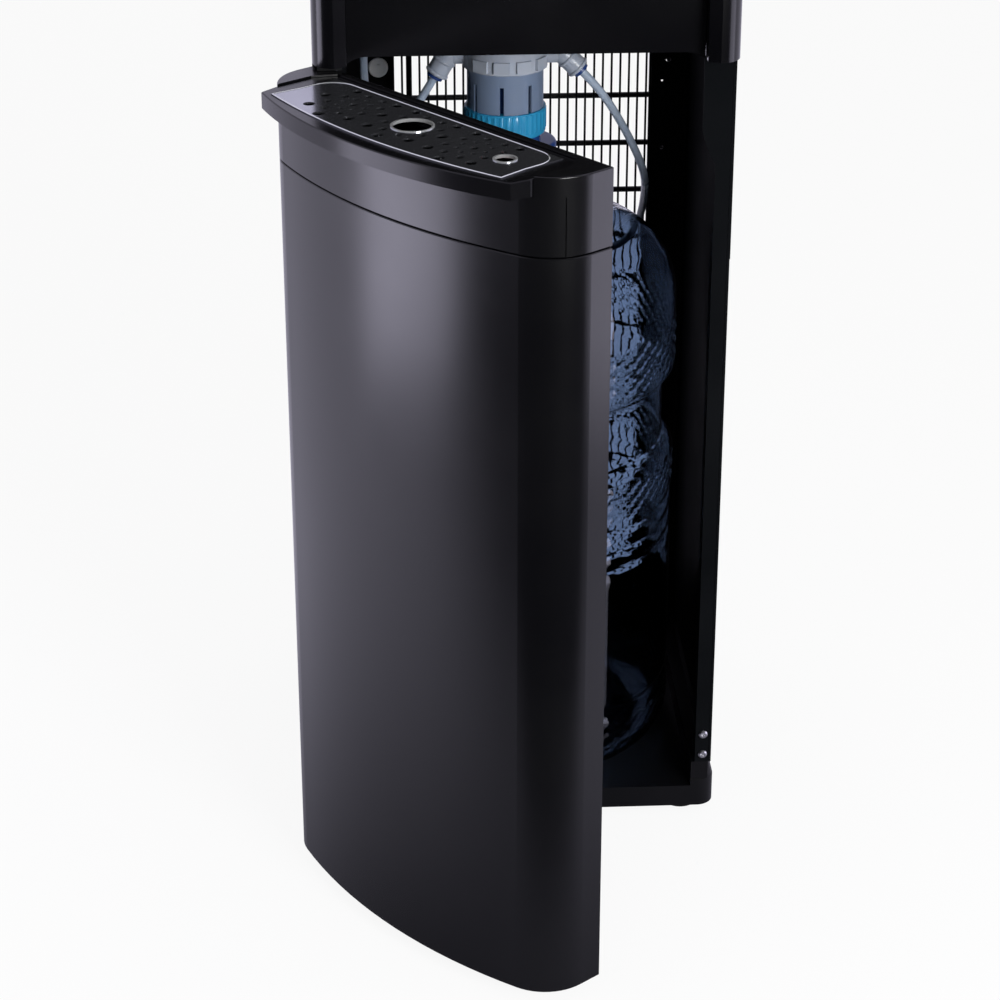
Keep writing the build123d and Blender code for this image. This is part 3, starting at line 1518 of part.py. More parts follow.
plate_z = shelf_z + shelf_thick + fit_gap
with BuildPart() as compressor:
    with BuildSketch(Plane.XY.offset(compressor_hub_z)):
        with Locations((compressor_x, compressor_y)):
            Circle(compressor_r)
    extrude(amount=compressor_height)
    fillet(compressor.edges().filter_by(GeomType.CIRCLE), radius=compressor_round)
    with BuildSketch(Plane.XY.offset(compressor_seam_z)):
        with Locations((compressor_x, compressor_y)):
            Circle(compressor_r + compressor_seam)
    extrude(amount=compressor_seam_height)
    with BuildSketch(Plane.XY.offset(plate_z)):
        with Locations((compressor_x, compressor_y)):
            RectangleRounded(compressor_plate_x, compressor_plate_y, compressor_plate)
    extrude(amount=compressor_plate)
    with BuildSketch(Plane.XY.offset(plate_z)):
        with Locations((compressor_x, compressor_y)):
            Circle(compressor_r / 2)
    extrude(amount=compressor_hub_z - plate_z + compressor_plate)
save(compressor.part, "compressor")

pipe_end_y = compressor_y + (compressor_r**2 - (pipe_x - compressor_x) ** 2) ** 0.5
with BuildPart() as discharge_pipe:
    with BuildLine() as pipe_path:
        FilletPolyline(
            (run_right_x, condenser_y, condenser_top_z),
            (riser_x, condenser_y, condenser_top_z),
            (riser_x, condenser_y, riser_top_z),
            (pipe_x, condenser_y, riser_top_z),
            (pipe_x, condenser_y, pipe_z),
            (pipe_x, pipe_end_y + fit_gap, pipe_z),
            radius=pipe_bend_r,
        )
    with BuildSketch(Plane(origin=pipe_path.wire() @ 0, z_dir=pipe_path.wire() % 0)):
        Circle(condenser_tube_r)
    sweep()
save(discharge_pipe.part, "discharge_pipe")

with BuildPart() as water_pump:
    with BuildSketch(Plane.XY.offset(plate_z)):
        with Locations((pump_x, pump_y)):
            RectangleRounded(pump_body, pump_body, compressor_plate)
    extrude(amount=pump_height)
    with BuildSketch(Plane(origin=(pump_x, pump_y, plate_z + pump_height / 2), z_dir=(0, -1, 0))):
        Circle(pump_motor_r)
    extrude(amount=pump_body / 2 + pump_motor_length)
save(water_pump.part, "water_pump")

# ================================================================ rear fittings
inlet_rim = 2.5
inlet_wall = 3.0
inlet_cavity = 16.0
inlet_pin_x = 7.0
inlet_pin_z = 3.0
rear_out = Plane.XZ.offset(-panel_rear_y)

with BuildPart() as power_inlet:
    with BuildSketch(rear_out):
        with Locations((inlet_x, inlet_z)):
            Rectangle(inlet_width + 2 * inlet_flange, inlet_height + 2 * inlet_flange)
    extrude(amount=-inlet_rim)
    with BuildSketch(rear_out):
        with Locations((inlet_x, inlet_z)):
            Rectangle(inlet_width, inlet_height)
    extrude(amount=inlet_depth)
    with BuildSketch(rear_out.offset(-inlet_rim)):
        with Locations((inlet_x, inlet_z)):
            Rectangle(inlet_width - 2 * inlet_wall, inlet_height - 2 * inlet_wall)
    extrude(amount=inlet_cavity, mode=Mode.SUBTRACT)
    with BuildSketch(rear_out):
        with Locations(
            (inlet_x - inlet_pin_x, inlet_z - inlet_pin_z),
            (inlet_x, inlet_z + inlet_pin_z),
            (inlet_x + inlet_pin_x, inlet_z - inlet_pin_z),
        ):
            Circle(pin_hole_r)
    extrude(amount=inlet_cavity - inlet_rim)
save(power_inlet.part, "power_inlet")

switch_depth = 9.0
switch_thick = 3.0
rocker_axis_inset = 2.0
rocker_axis_y = panel_rear_y - rocker_axis_inset
rocker_front = 6.0
rocker_back = 5.0
rocker_taper = 1.0
rocker_side_gap = 0.3
rocker_room = 11.2
peg_r = 1.5
peg_length = 1.8
peg_clearance = 0.05
rocker_places = (switch_x - switch_pitch / 2, switch_x + switch_pitch / 2)
rocker_plane = Plane(origin=(0, rocker_axis_y, switch_z), x_dir=(0, 1, 0), z_dir=(1, 0, 0))
slot_half_width = rocker_width / 2 + rocker_side_gap

with BuildPart() as switch_plate:
    with BuildSketch(rear_out):
        with Locations((switch_x, switch_z)):
            RectangleRounded(switch_plate_width, switch_plate_height, switch_thick)
    extrude(amount=-switch_thick)
    with BuildSketch(rear_out):
        with Locations((switch_x, switch_z)):
            Rectangle(
                switch_plate_width - 2 * switch_flange - 2 * fit_gap,
                switch_plate_height - 2 * switch_flange - 2 * fit_gap,
            )
    extrude(amount=switch_depth)
    with BuildSketch(rear_out.offset(-switch_thick)):
        with Locations(*[(place, switch_z) for place in rocker_places]):
            Rectangle(2 * slot_half_width, 2 * rocker_room)
    extrude(amount=switch_thick + switch_depth, mode=Mode.SUBTRACT)
    # bearings of the rockers' pegs
    for place in rocker_places:
        with BuildSketch(rocker_plane.offset(place - slot_half_width - peg_length)):
            Circle(peg_r + peg_clearance)
        extrude(amount=2 * (slot_half_width + peg_length), mode=Mode.SUBTRACT)
save(switch_plate.part, "switch_plate")


def rocker(place):
    """Rocker of a switch, with one half pressed in; its pegs turn in the plate."""
    lean = radians(rocker_tilt)
    dip = rocker_half_height * tan(lean)
    profile = (
        (-rocker_back, -rocker_half_height + rocker_taper),
        (rocker_front, -rocker_half_height),
        (rocker_front - dip, 0),
        (rocker_front, rocker_half_height),
        (-rocker_back, rocker_half_height - rocker_taper),
    )
    leaned = [(a * cos(lean) - b * sin(lean), a * sin(lean) + b * cos(lean)) for a, b in profile]
    with BuildPart() as key:
        with BuildSketch(rocker_plane.offset(place - rocker_width / 2)):
            Polygon(*leaned, align=None)
        extrude(amount=rocker_width)
        with BuildSketch(rocker_plane.offset(place - rocker_width / 2 - peg_length)):
            Circle(peg_r)
        extrude(amount=rocker_width + 2 * peg_length)
    return key.part


save(rocker(rocker_places[0]), "cold_rocker")
save(rocker(rocker_places[1]), "hot_rocker")

drain_head = 5.0
drain_stem = 6.0
with BuildPart() as drain_plug:
    with BuildSketch(rear_out):
        with Locations((drain_x, drain_z)):
            RegularPolygon(drain_r, 8)
    extrude(amount=-drain_head)
    with BuildSketch(rear_out):
        with Locations((drain_x, drain_z)):
            Circle(drain_r - inlet_flange)
    extrude(amount=drain_stem)
save(drain_plug.part, "drain_plug")
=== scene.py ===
"""Bottom-load water cooler with its door open: finishes, bottle, hoses and trims round the fixed frame.

Lengths are metres in the frame of the model: X to the right, Y to the back, Z up, origin on the
floor under the middle of the cabinet's front edge.
"""

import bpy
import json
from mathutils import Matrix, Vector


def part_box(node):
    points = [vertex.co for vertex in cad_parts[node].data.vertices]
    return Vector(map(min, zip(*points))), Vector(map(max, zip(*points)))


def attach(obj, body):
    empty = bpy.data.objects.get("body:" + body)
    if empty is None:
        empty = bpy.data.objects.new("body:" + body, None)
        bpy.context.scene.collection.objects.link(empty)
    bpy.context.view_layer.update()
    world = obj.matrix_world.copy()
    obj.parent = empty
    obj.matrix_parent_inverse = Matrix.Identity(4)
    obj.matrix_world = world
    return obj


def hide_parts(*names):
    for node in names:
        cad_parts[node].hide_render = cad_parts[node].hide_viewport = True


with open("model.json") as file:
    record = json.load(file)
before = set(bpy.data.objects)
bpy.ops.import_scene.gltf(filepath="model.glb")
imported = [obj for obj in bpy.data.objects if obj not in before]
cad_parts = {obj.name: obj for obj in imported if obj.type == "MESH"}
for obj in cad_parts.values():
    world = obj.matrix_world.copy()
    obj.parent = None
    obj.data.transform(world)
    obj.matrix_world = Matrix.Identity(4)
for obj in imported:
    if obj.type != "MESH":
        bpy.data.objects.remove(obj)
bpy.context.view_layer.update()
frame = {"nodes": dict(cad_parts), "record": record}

import json
import logging
from dataclasses import dataclass
from enum import Enum
from math import cos, pi, radians, sin

import bmesh
import bpy
import numpy as np
from mathutils import Vector

log = logging.getLogger("cooler")

Colour = tuple[float, float, float]
Point = tuple[float, float, float]
Piece = bpy.types.Object
Tree = bpy.types.NodeTree
Node = bpy.types.Node
Socket = bpy.types.NodeSocket
Feed = Socket | float


# ---------------------------------------------------------------- meshes from grids
def add_object(name: str, data: bpy.types.ID) -> Piece:
    """Make an object and link it to the scene.

    Args:
        name: the object's name.
        data: the mesh, curve, lamp or camera that it shows.

    Returns:
        The object, at the origin.
    """
    made = bpy.data.objects.new(name, data)
    bpy.context.scene.collection.objects.link(made)
    return made


@dataclass(frozen=True)
class Grid:
    """A sheet of points, rows by columns by three, and whether its rows and columns close up."""

    points: np.ndarray
    wrap_rows: bool = False
    wrap_columns: bool = True

    def quads(self, start: int) -> np.ndarray:
        """Corner numbers of the sheet's quads.

        Args:
            start: number of the sheet's first point in the mesh.

        Returns:
            An array of four corner numbers a quad: each point, its neighbour along the row, the
            one across and the one along the column.
        """
        rows, columns = self.points.shape[:2]
        index = np.arange(rows * columns).reshape(rows, columns) + start
        if self.wrap_rows:
            index = np.vstack([index, index[:1]])
        if self.wrap_columns:
            index = np.hstack([index, index[:, :1]])
        corners = [index[:-1, :-1], index[:-1, 1:], index[1:, 1:], index[1:, :-1]]
        return np.stack(corners, axis=-1).reshape(-1, 4)


def make_piece(name: str, grids: list[Grid], sharp_degrees: float = 40.0) -> Piece:
    """Make one object of closed sheets, with doubles merged and faces turned outwards.

    Args:
        name: the piece's name.
        grids: its sheets; a row of equal points is a pole and closes by the merge.
        sharp_degrees: edges that turn by more than this stay sharp.

    Returns:
        The object, at the origin, with its place in its mesh.
    """
    points = np.concatenate([grid.points.reshape(-1, 3) for grid in grids])
    starts = np.cumsum([0] + [grid.points.shape[0] * grid.points.shape[1] for grid in grids[:-1]])
    quads = np.concatenate([grid.quads(int(start)) for grid, start in zip(grids, starts)])
    mesh = bpy.data.meshes.new(name)
    mesh.from_pydata(points.tolist(), [], quads.tolist())
    shell = bmesh.new()
    shell.from_mesh(mesh)
    bmesh.ops.remove_doubles(shell, verts=shell.verts, dist=1e-6)
    bmesh.ops.recalc_face_normals(shell, faces=shell.faces)
    shell.to_mesh(mesh)
    shell.free()
    mesh.polygons.foreach_set("use_smooth", np.ones(len(mesh.polygons), dtype=bool))
    mesh.set_sharp_from_angle(angle=radians(sharp_degrees))
    return add_object(name, mesh)


def turned(profile: np.ndarray, centre: tuple[float, float], steps: int) -> np.ndarray:
    """Turn a profile about an upright axis.

    Each point (r, z) becomes (x0 + r cos t, y0 + r sin t, z) for evenly spaced turns t.

    Args:
        profile: rows of radius and height.
        centre: the axis's place on the floor plan.
        steps: how many turns.

    Returns:
        The grid of points, profile by turns.
    """
    turn = np.linspace(0.0, 2.0 * pi, steps, endpoint=False)
    radius, height = profile[:, :1], profile[:, 1:]
    x = centre[0] + radius * np.cos(turn)
    y = centre[1] + radius * np.sin(turn)
    z = np.broadcast_to(height, x.shape)
    return np.stack([x, y, z], axis=-1)


def carried(section: np.ndarray, path: np.ndarray, sideways: np.ndarray, upwards: np.ndarray) -> np.ndarray:
    """Carry a section along a path.

    Each section point (a, b) becomes path + a sideways + b upwards at each point of the path.

    Args:
        section: rows of a and b.
        path: the points that it follows.
        sideways: one unit vector per path point.
        upwards: one unit vector per path point.

    Returns:
        The grid of points, path by section.
    """
    a = section[None, :, :1]
    b = section[None, :, 1:]
    return path[:, None, :] + a * sideways[:, None, :] + b * upwards[:, None, :]


def arc(centre: tuple[float, float], radius: float, first: float, last: float, steps: int) -> np.ndarray:
    """Points on a circular arc, (cx + r cos t, cy + r sin t), with t in degrees from first to last."""
    turn = np.radians(np.linspace(first, last, steps))
    return np.stack([centre[0] + radius * np.cos(turn), centre[1] + radius * np.sin(turn)], axis=-1)


# ---------------------------------------------------------------- shader groups
def socket(sockets: bpy.types.bpy_prop_collection, identifier: str) -> Socket:
    """The socket with this identifier, because a mix node has several of one name."""
    return next(each for each in sockets if each.identifier == identifier)


def feed(tree: Tree, value: Feed, entry: Socket) -> None:
    """Put a number in an input, or link a socket to it."""
    if isinstance(value, float):
        entry.default_value = value
    else:
        tree.links.new(value, entry)


def add_math(tree: Tree, operation: str, first: Feed, second: Feed) -> Socket:
    """Add a math node on two sockets or numbers.

    Args:
        tree: the nodes.
        operation: the node's operation.
        first: its first value.
        second: its second value.

    Returns:
        Its output.
    """
    node = tree.nodes.new("ShaderNodeMath")
    node.operation = operation
    feed(tree, first, node.inputs[0])
    feed(tree, second, node.inputs[1])
    return node.outputs[0]


def add_light(tree: Tree, kind: str, colour: Colour, strength: Feed = 1.0) -> Socket:
    """Add an emission or background shader.

    Args:
        tree: the nodes.
        kind: the node's type.
        colour: its colour.
        strength: its strength, as a number or a socket.

    Returns:
        Its output.
    """
    node = tree.nodes.new(kind)
    node.inputs["Color"].default_value = (*colour, 1.0)
    feed(tree, strength, node.inputs["Strength"])
    return node.outputs[0]


def mix_shaders(tree: Tree, share: Socket, first: Socket, second: Socket) -> Socket:
    """Add a mix of two shaders.

    Args:
        tree: the nodes.
        share: how much of the second shows.
        first: the shader where the share is 0.
        second: the shader where it is 1.

    Returns:
        Its output.
    """
    node = tree.nodes.new("ShaderNodeMixShader")
    for value, entry in zip((share, first, second), node.inputs):
        tree.links.new(value, entry)
    return node.outputs[0]


def add_mix(tree: Tree, first: Colour, second: Colour) -> Node:
    """Add a colour mix; its colour sockets are A_Color, B_Color and Result_Color.

    Args:
        tree: the nodes.
        first: the tone where the factor is 0.
        second: the tone where it is 1.

    Returns:
        The node.
    """
    node = tree.nodes.new("ShaderNodeMix")
    node.data_type = "RGBA"
    socket(node.inputs, "A_Color").default_value = (*first, 1.0)
    socket(node.inputs, "B_Color").default_value = (*second, 1.0)
    return node


class GroupKit:
    """The shader node groups that the finishes share, built once each."""

    drift_edges: tuple[float, float] = (0.35, 0.65)

    def __init__(self) -> None:
        """Build the groups."""
        self.grain = self.build_grain()
        self.drift = self.build_drift()
        self.dust = self.build_dust()
        self.dimples = self.build_dimples()

    @staticmethod
    def start(name: str, inputs: dict[str, float], outputs: list[str]) -> Tree:
        """Make an empty group.

        Args:
            name: the group's name.
            inputs: its number inputs with their defaults, after a Vector input.
            outputs: its outputs.

        Returns:
            The group with its sockets and its input and output nodes.
        """
        tree = bpy.data.node_groups.new(name, "ShaderNodeTree")
        tree.interface.new_socket("Vector", in_out="INPUT", socket_type="NodeSocketVector")
        for label, value in inputs.items():
            made = tree.interface.new_socket(label, in_out="INPUT", socket_type="NodeSocketFloat")
            made.default_value = value
        for label in outputs:
            tree.interface.new_socket(label, in_out="OUTPUT", socket_type="NodeSocketFloat")
        tree.nodes.new("NodeGroupInput").name = "in"
        tree.nodes.new("NodeGroupOutput").name = "out"
        return tree

    @staticmethod
    def noise(tree: Tree, scale: str, detail: float, roughness: float) -> Node:
        """Add a noise texture on the group's Vector.

        Args:
            tree: the group.
            scale: the group's input that gives its scale.
            detail: its detail.
            roughness: its roughness.

        Returns:
            The node.
        """
        node = tree.nodes.new("ShaderNodeTexNoise")
        node.inputs["Detail"].default_value = detail
        node.inputs["Roughness"].default_value = roughness
        tree.links.new(tree.nodes["in"].outputs["Vector"], node.inputs["Vector"])
        tree.links.new(tree.nodes["in"].outputs[scale], node.inputs["Scale"])
        return node

    def build_grain(self) -> Tree:
        """Moulded or painted grain: fine noise over long waves, as a height.

        Returns:
            The group.
        """
        tree = self.start("surface_grain", {"Fine": 900.0, "Broad": 25.0, "Wave": 0.3}, ["Height"])
        fine = self.noise(tree, "Fine", detail=2.0, roughness=0.5)
        broad = self.noise(tree, "Broad", detail=1.0, roughness=0.4)
        mix = tree.nodes.new("ShaderNodeMix")
        tree.links.new(tree.nodes["in"].outputs["Wave"], socket(mix.inputs, "Factor_Float"))
        tree.links.new(fine.outputs["Fac"], socket(mix.inputs, "A_Float"))
        tree.links.new(broad.outputs["Fac"], socket(mix.inputs, "B_Float"))
        result = socket(mix.outputs, "Result_Float")
        tree.links.new(result, tree.nodes["out"].inputs["Height"])
        return tree

    def build_drift(self) -> Tree:
        """Slow change over a surface between two values, for roughness and tone.

        Returns:
            The group.
        """
        tree = self.start("slow_drift", {"Scale": 6.0, "Low": 0.3, "High": 0.4}, ["Value", "Mask"])
        noise = self.noise(tree, "Scale", detail=4.0, roughness=0.55)
        mask = tree.nodes.new("ShaderNodeMapRange")
        mask.inputs["From Min"].default_value = self.drift_edges[0]
        mask.inputs["From Max"].default_value = self.drift_edges[1]
        tree.links.new(noise.outputs["Fac"], mask.inputs["Value"])
        value = tree.nodes.new("ShaderNodeMapRange")
        tree.links.new(mask.outputs["Result"], value.inputs["Value"])
        tree.links.new(tree.nodes["in"].outputs["Low"], value.inputs["To Min"])
        tree.links.new(tree.nodes["in"].outputs["High"], value.inputs["To Max"])
        tree.links.new(value.outputs["Result"], tree.nodes["out"].inputs["Value"])
        tree.links.new(mask.outputs["Result"], tree.nodes["out"].inputs["Mask"])
        return tree

    def build_dust(self) -> Tree:
        """Fine dust that lies on faces that look up: upward turn times broken noise times amount.

        Returns:
            The group.
        """
        tree = self.start("settled_dust", {"Amount": 0.1, "Scale": 60.0}, ["Mask"])
        noise = self.noise(tree, "Scale", detail=6.0, roughness=0.7)
        shape = tree.nodes.new("ShaderNodeNewGeometry")
        split = tree.nodes.new("ShaderNodeSeparateXYZ")
        tree.links.new(shape.outputs["Normal"], split.inputs["Vector"])
        upward = add_math(tree, "MAXIMUM", split.outputs["Z"], 0.0)
        broken = add_math(tree, "MULTIPLY", upward, noise.outputs["Fac"])
        amount = add_math(tree, "MULTIPLY", broken, tree.nodes["in"].outputs["Amount"])
        tree.links.new(amount, tree.nodes["out"].inputs["Mask"])
        return tree

    def build_dimples(self) -> Tree:
        """Small pits all over, as on moulded leather grain: distance to the nearest of scattered points.

        Returns:
            The group.
        """
        tree = self.start("moulded_dimples", {"Scale": 700.0}, ["Height"])
        cells = tree.nodes.new("ShaderNodeTexVoronoi")
        tree.links.new(tree.nodes["in"].outputs["Vector"], cells.inputs["Vector"])
        tree.links.new(tree.nodes["in"].outputs["Scale"], cells.inputs["Scale"])
        tree.links.new(cells.outputs["Distance"], tree.nodes["out"].inputs["Height"])
        return tree


class Grain(Enum):
    """How a surface's fine relief is made."""

    NOISE = "noise"
    DIMPLES = "dimples"


DUST_TONE = (0.35, 0.34, 0.33)
SCATTER_REACH = (0.004, 0.005, 0.006)


@dataclass(frozen=True)
class Finish:
    """A surface finish.

    colour and second are the two tones that it drifts between, rough its least and most roughness,
    grain_size and grain_depth the fine relief in metres, wave the share of long waves in it, dust the
    cover on faces that look up, scatter the light that goes under the surface, and stretch squeezes
    the pattern on X, Y, Z.
    """

    colour: Colour
    second: Colour
    rough: tuple[float, float] = (0.3, 0.4)
    specular: float = 0.3
    metallic: float = 0.0
    transmission: float = 0.0
    ior: float = 1.5
    grain: Grain = Grain.NOISE
    grain_size: float = 0.0012
    grain_depth: float = 0.00002
    wave: float = 0.2
    drift_scale: float = 7.0
    dust: float = 0.02
    stretch: Point = (1.0, 1.0, 1.0)
    scatter: float = 0.0

    def build(self, name: str, kit: GroupKit) -> bpy.types.Material:
        """Build the node material.

        Args:
            name: the material's name.
            kit: the shared shader groups.

        Returns:
            The material.
        """
        material = bpy.data.materials.new(name)
        material.use_nodes = True
        tree = material.node_tree
        shader = tree.nodes["Principled BSDF"]
        place = tree.nodes.new("ShaderNodeTexCoord")
        squeeze = tree.nodes.new("ShaderNodeMapping")
        squeeze.inputs["Scale"].default_value = self.stretch
        tree.links.new(place.outputs["Object"], squeeze.inputs["Vector"])
        self.dress_colour(tree, shader, squeeze, kit)
        self.dress_relief(tree, shader, squeeze, kit)
        shader.inputs["Specular IOR Level"].default_value = self.specular
        shader.inputs["Metallic"].default_value = self.metallic
        shader.inputs["Transmission Weight"].default_value = self.transmission
        shader.inputs["IOR"].default_value = self.ior
        shader.inputs["Subsurface Weight"].default_value = self.scatter
        shader.inputs["Subsurface Radius"].default_value = SCATTER_REACH
        return material

    def dress_colour(self, tree: Tree, shader: Node, squeeze: Node, kit: GroupKit) -> None:
        """Feed Base Color and Roughness: two tones by slow drift, with dust on top.

        Args:
            tree: the material's nodes.
            shader: its Principled BSDF.
            squeeze: the mapping that gives the pattern's place.
            kit: the shared shader groups.
        """
        drift = self.add_group(tree, kit.drift, squeeze)
        drift.inputs["Scale"].default_value = self.drift_scale
        drift.inputs["Low"].default_value = self.rough[0]
        drift.inputs["High"].default_value = self.rough[1]
        tree.links.new(drift.outputs["Value"], shader.inputs["Roughness"])
        tone = add_mix(tree, self.colour, self.second)
        tree.links.new(drift.outputs["Mask"], socket(tone.inputs, "Factor_Float"))
        colour = socket(tone.outputs, "Result_Color")
        if self.dust > 0.0:
            dust = self.add_group(tree, kit.dust, squeeze)
            dust.inputs["Amount"].default_value = self.dust
            cover = add_mix(tree, self.colour, DUST_TONE)
            tree.links.new(dust.outputs["Mask"], socket(cover.inputs, "Factor_Float"))
            tree.links.new(colour, socket(cover.inputs, "A_Color"))
            colour = socket(cover.outputs, "Result_Color")
        tree.links.new(colour, shader.inputs["Base Color"])

    def dress_relief(self, tree: Tree, shader: Node, squeeze: Node, kit: GroupKit) -> None:
        """Feed Normal through a Bump node from the grain or dimples group.

        Args:
            tree: the material's nodes.
            shader: its Principled BSDF.
            squeeze: the mapping that gives the pattern's place.
            kit: the shared shader groups.
        """
        if self.grain is Grain.NOISE:
            relief = self.add_group(tree, kit.grain, squeeze)
            relief.inputs["Fine"].default_value = 1.0 / self.grain_size
            relief.inputs["Wave"].default_value = self.wave
        else:
            relief = self.add_group(tree, kit.dimples, squeeze)
            relief.inputs["Scale"].default_value = 1.0 / self.grain_size
        bump = tree.nodes.new("ShaderNodeBump")
        bump.inputs["Distance"].default_value = self.grain_depth
        tree.links.new(relief.outputs["Height"], bump.inputs["Height"])
        tree.links.new(bump.outputs["Normal"], shader.inputs["Normal"])

    @staticmethod
    def add_group(tree: Tree, group: Tree, place: Node) -> Node:
        """Put a shared group into a material.

        Args:
            tree: the material's nodes.
            group: the group.
            place: the mapping that feeds it.

        Returns:
            The group's node.
        """
        node = tree.nodes.new("ShaderNodeGroup")
        node.node_tree = group
        tree.links.new(place.outputs["Vector"], node.inputs["Vector"])
        return node


BLACK_GLOSS = (0.0020, 0.0020, 0.0028)
BLACK_DEEP = (0.0016, 0.0018, 0.0024)
BLACK_WORN = (0.0030, 0.0030, 0.0038)
FINISHES: dict[str, Finish] = {
    "door_black": Finish(BLACK_GLOSS, BLACK_WORN, (0.22, 0.27), 0.5, dust=0.004, grain_depth=0.00001),
    "door_inner_black": Finish(BLACK_DEEP, BLACK_WORN, (0.4, 0.5), 0.2, grain_size=0.0009),
    "door_seal_black": Finish(BLACK_DEEP, (0.006, 0.006, 0.007), (0.55, 0.65), 0.2, grain=Grain.DIMPLES),
    "hinge_black": Finish(BLACK_DEEP, (0.006, 0.006, 0.007), (0.35, 0.45), 0.3),
    "tray_black": Finish(BLACK_GLOSS, BLACK_WORN, (0.2, 0.26), 0.30, dust=0.003, grain_depth=0.00001),
    "grille_black": Finish((0.40, 0.41, 0.45), (0.34, 0.35, 0.39), (0.14, 0.19), 0.5, 0.93, dust=0.0,
                           grain_depth=0.00001),
    "bright_ring": Finish((0.80, 0.81, 0.83), (0.68, 0.69, 0.72), (0.10, 0.18), 0.5, 0.6, wave=0.1),
    "float_red": Finish((0.22, 0.010, 0.009), (0.16, 0.008, 0.008), (0.25, 0.35), 0.4, scatter=0.1),
    "cabinet_black": Finish((0.0035, 0.0040, 0.0048), (0.0055, 0.0060, 0.0070), (0.5, 0.6), 0.004,
                            grain=Grain.DIMPLES, grain_size=0.0016, grain_depth=0.00006, dust=0.003),
    "rear_black": Finish(BLACK_DEEP, BLACK_WORN, (0.45, 0.55), 0.06, grain_size=0.0014, dust=0.0),
    "condenser_black": Finish((0.003, 0.003, 0.004), (0.006, 0.006, 0.008), (0.4, 0.5), 0.25),
    "base_black": Finish(BLACK_DEEP, BLACK_WORN, (0.34, 0.42), 0.18, grain_size=0.0011, dust=0.003),
    "foot_rubber": Finish((0.006, 0.006, 0.006), (0.012, 0.012, 0.012), (0.7, 0.8), 0.2),
    "screw_steel": Finish((0.62, 0.62, 0.64), (0.45, 0.45, 0.47), (0.2, 0.35), 0.5, 1.0),
    "plug_white": Finish((0.78, 0.79, 0.82), (0.66, 0.67, 0.70), (0.25, 0.35), 0.5, scatter=0.1),
    "bottle_blue": Finish((0.40, 0.48, 0.57), (0.36, 0.45, 0.55), (0.0, 0.03), 0.5, transmission=1.0,
                          ior=1.5, grain_size=0.011, grain_depth=0.00012, wave=0.75, dust=0.0),
    "cap_blue": Finish((0.02, 0.07, 0.28), (0.015, 0.05, 0.2), (0.3, 0.4), 0.4),
    "tube_white": Finish((0.62, 0.64, 0.66), (0.5, 0.52, 0.54), (0.3, 0.4), 0.4, scatter=0.2),
    "hose_grey": Finish((0.36, 0.42, 0.52), (0.29, 0.35, 0.45), (0.22, 0.32), 0.45, scatter=0.3,
                        grain_size=0.003),
    "fitting_white": Finish((0.42, 0.46, 0.54), (0.34, 0.38, 0.46), (0.22, 0.32), 0.45, scatter=0.3,
                            transmission=0.15),
    "collet_blue": Finish((0.015, 0.05, 0.20), (0.01, 0.035, 0.15), (0.3, 0.4), 0.4),
    "canister_frost": Finish((0.24, 0.31, 0.45), (0.19, 0.26, 0.40), (0.26, 0.36), 0.45, transmission=0.35,
                             scatter=0.2, grain_size=0.003),
    "ring_cyan": Finish((0.03, 0.30, 0.55), (0.02, 0.25, 0.48), (0.2, 0.3), 0.45, scatter=0.2,
                        transmission=0.15),
    "filter_blue": Finish((0.012, 0.05, 0.22), (0.010, 0.04, 0.16), (0.2, 0.3), 0.45),
    "core_blue": Finish((0.02, 0.06, 0.20), (0.015, 0.045, 0.15), (0.5, 0.6), 0.2, grain=Grain.DIMPLES),
    "housing_black": Finish(BLACK_GLOSS, BLACK_WORN, (0.16, 0.22), 0.4, dust=0.008, grain_depth=0.00001),
    "fascia_grey": Finish((0.09, 0.092, 0.10), (0.075, 0.077, 0.085), (0.2, 0.3), 0.4, 0.3),
    "button_silver": Finish((0.55, 0.56, 0.58), (0.47, 0.48, 0.50), (0.22, 0.32), 0.5, 0.85),
    "lens_clear": Finish((0.75, 0.80, 0.85), (0.68, 0.72, 0.78), (0.1, 0.2), 0.5, transmission=0.4),
    "spout_black": Finish(BLACK_GLOSS, (0.007, 0.007, 0.008), (0.3, 0.4), 0.3),
    "foam_white": Finish((0.72, 0.72, 0.70), (0.62, 0.62, 0.60), (0.8, 0.9), 0.2, grain=Grain.DIMPLES,
                         grain_size=0.0035, grain_depth=0.0004),
    "tank_steel": Finish((0.46, 0.47, 0.48), (0.38, 0.39, 0.40), (0.22, 0.34), 0.5, 1.0,
                         stretch=(40.0, 40.0, 1.0)),
    "compressor_black": Finish((0.008, 0.008, 0.009), (0.014, 0.014, 0.015), (0.3, 0.4), 0.3),
    "pipe_copper": Finish((0.60, 0.28, 0.16), (0.45, 0.20, 0.12), (0.25, 0.4), 0.5, 1.0),
    "pump_white": Finish((0.60, 0.60, 0.58), (0.52, 0.52, 0.50), (0.4, 0.5), 0.3),
    "fitting_black": Finish((0.006, 0.006, 0.006), (0.011, 0.011, 0.011), (0.4, 0.5), 0.3),
    "rocker_red": Finish((0.45, 0.012, 0.010), (0.36, 0.010, 0.008), (0.25, 0.35), 0.4),
    "rocker_green": Finish((0.015, 0.22, 0.045), (0.012, 0.17, 0.035), (0.25, 0.35), 0.4),
}


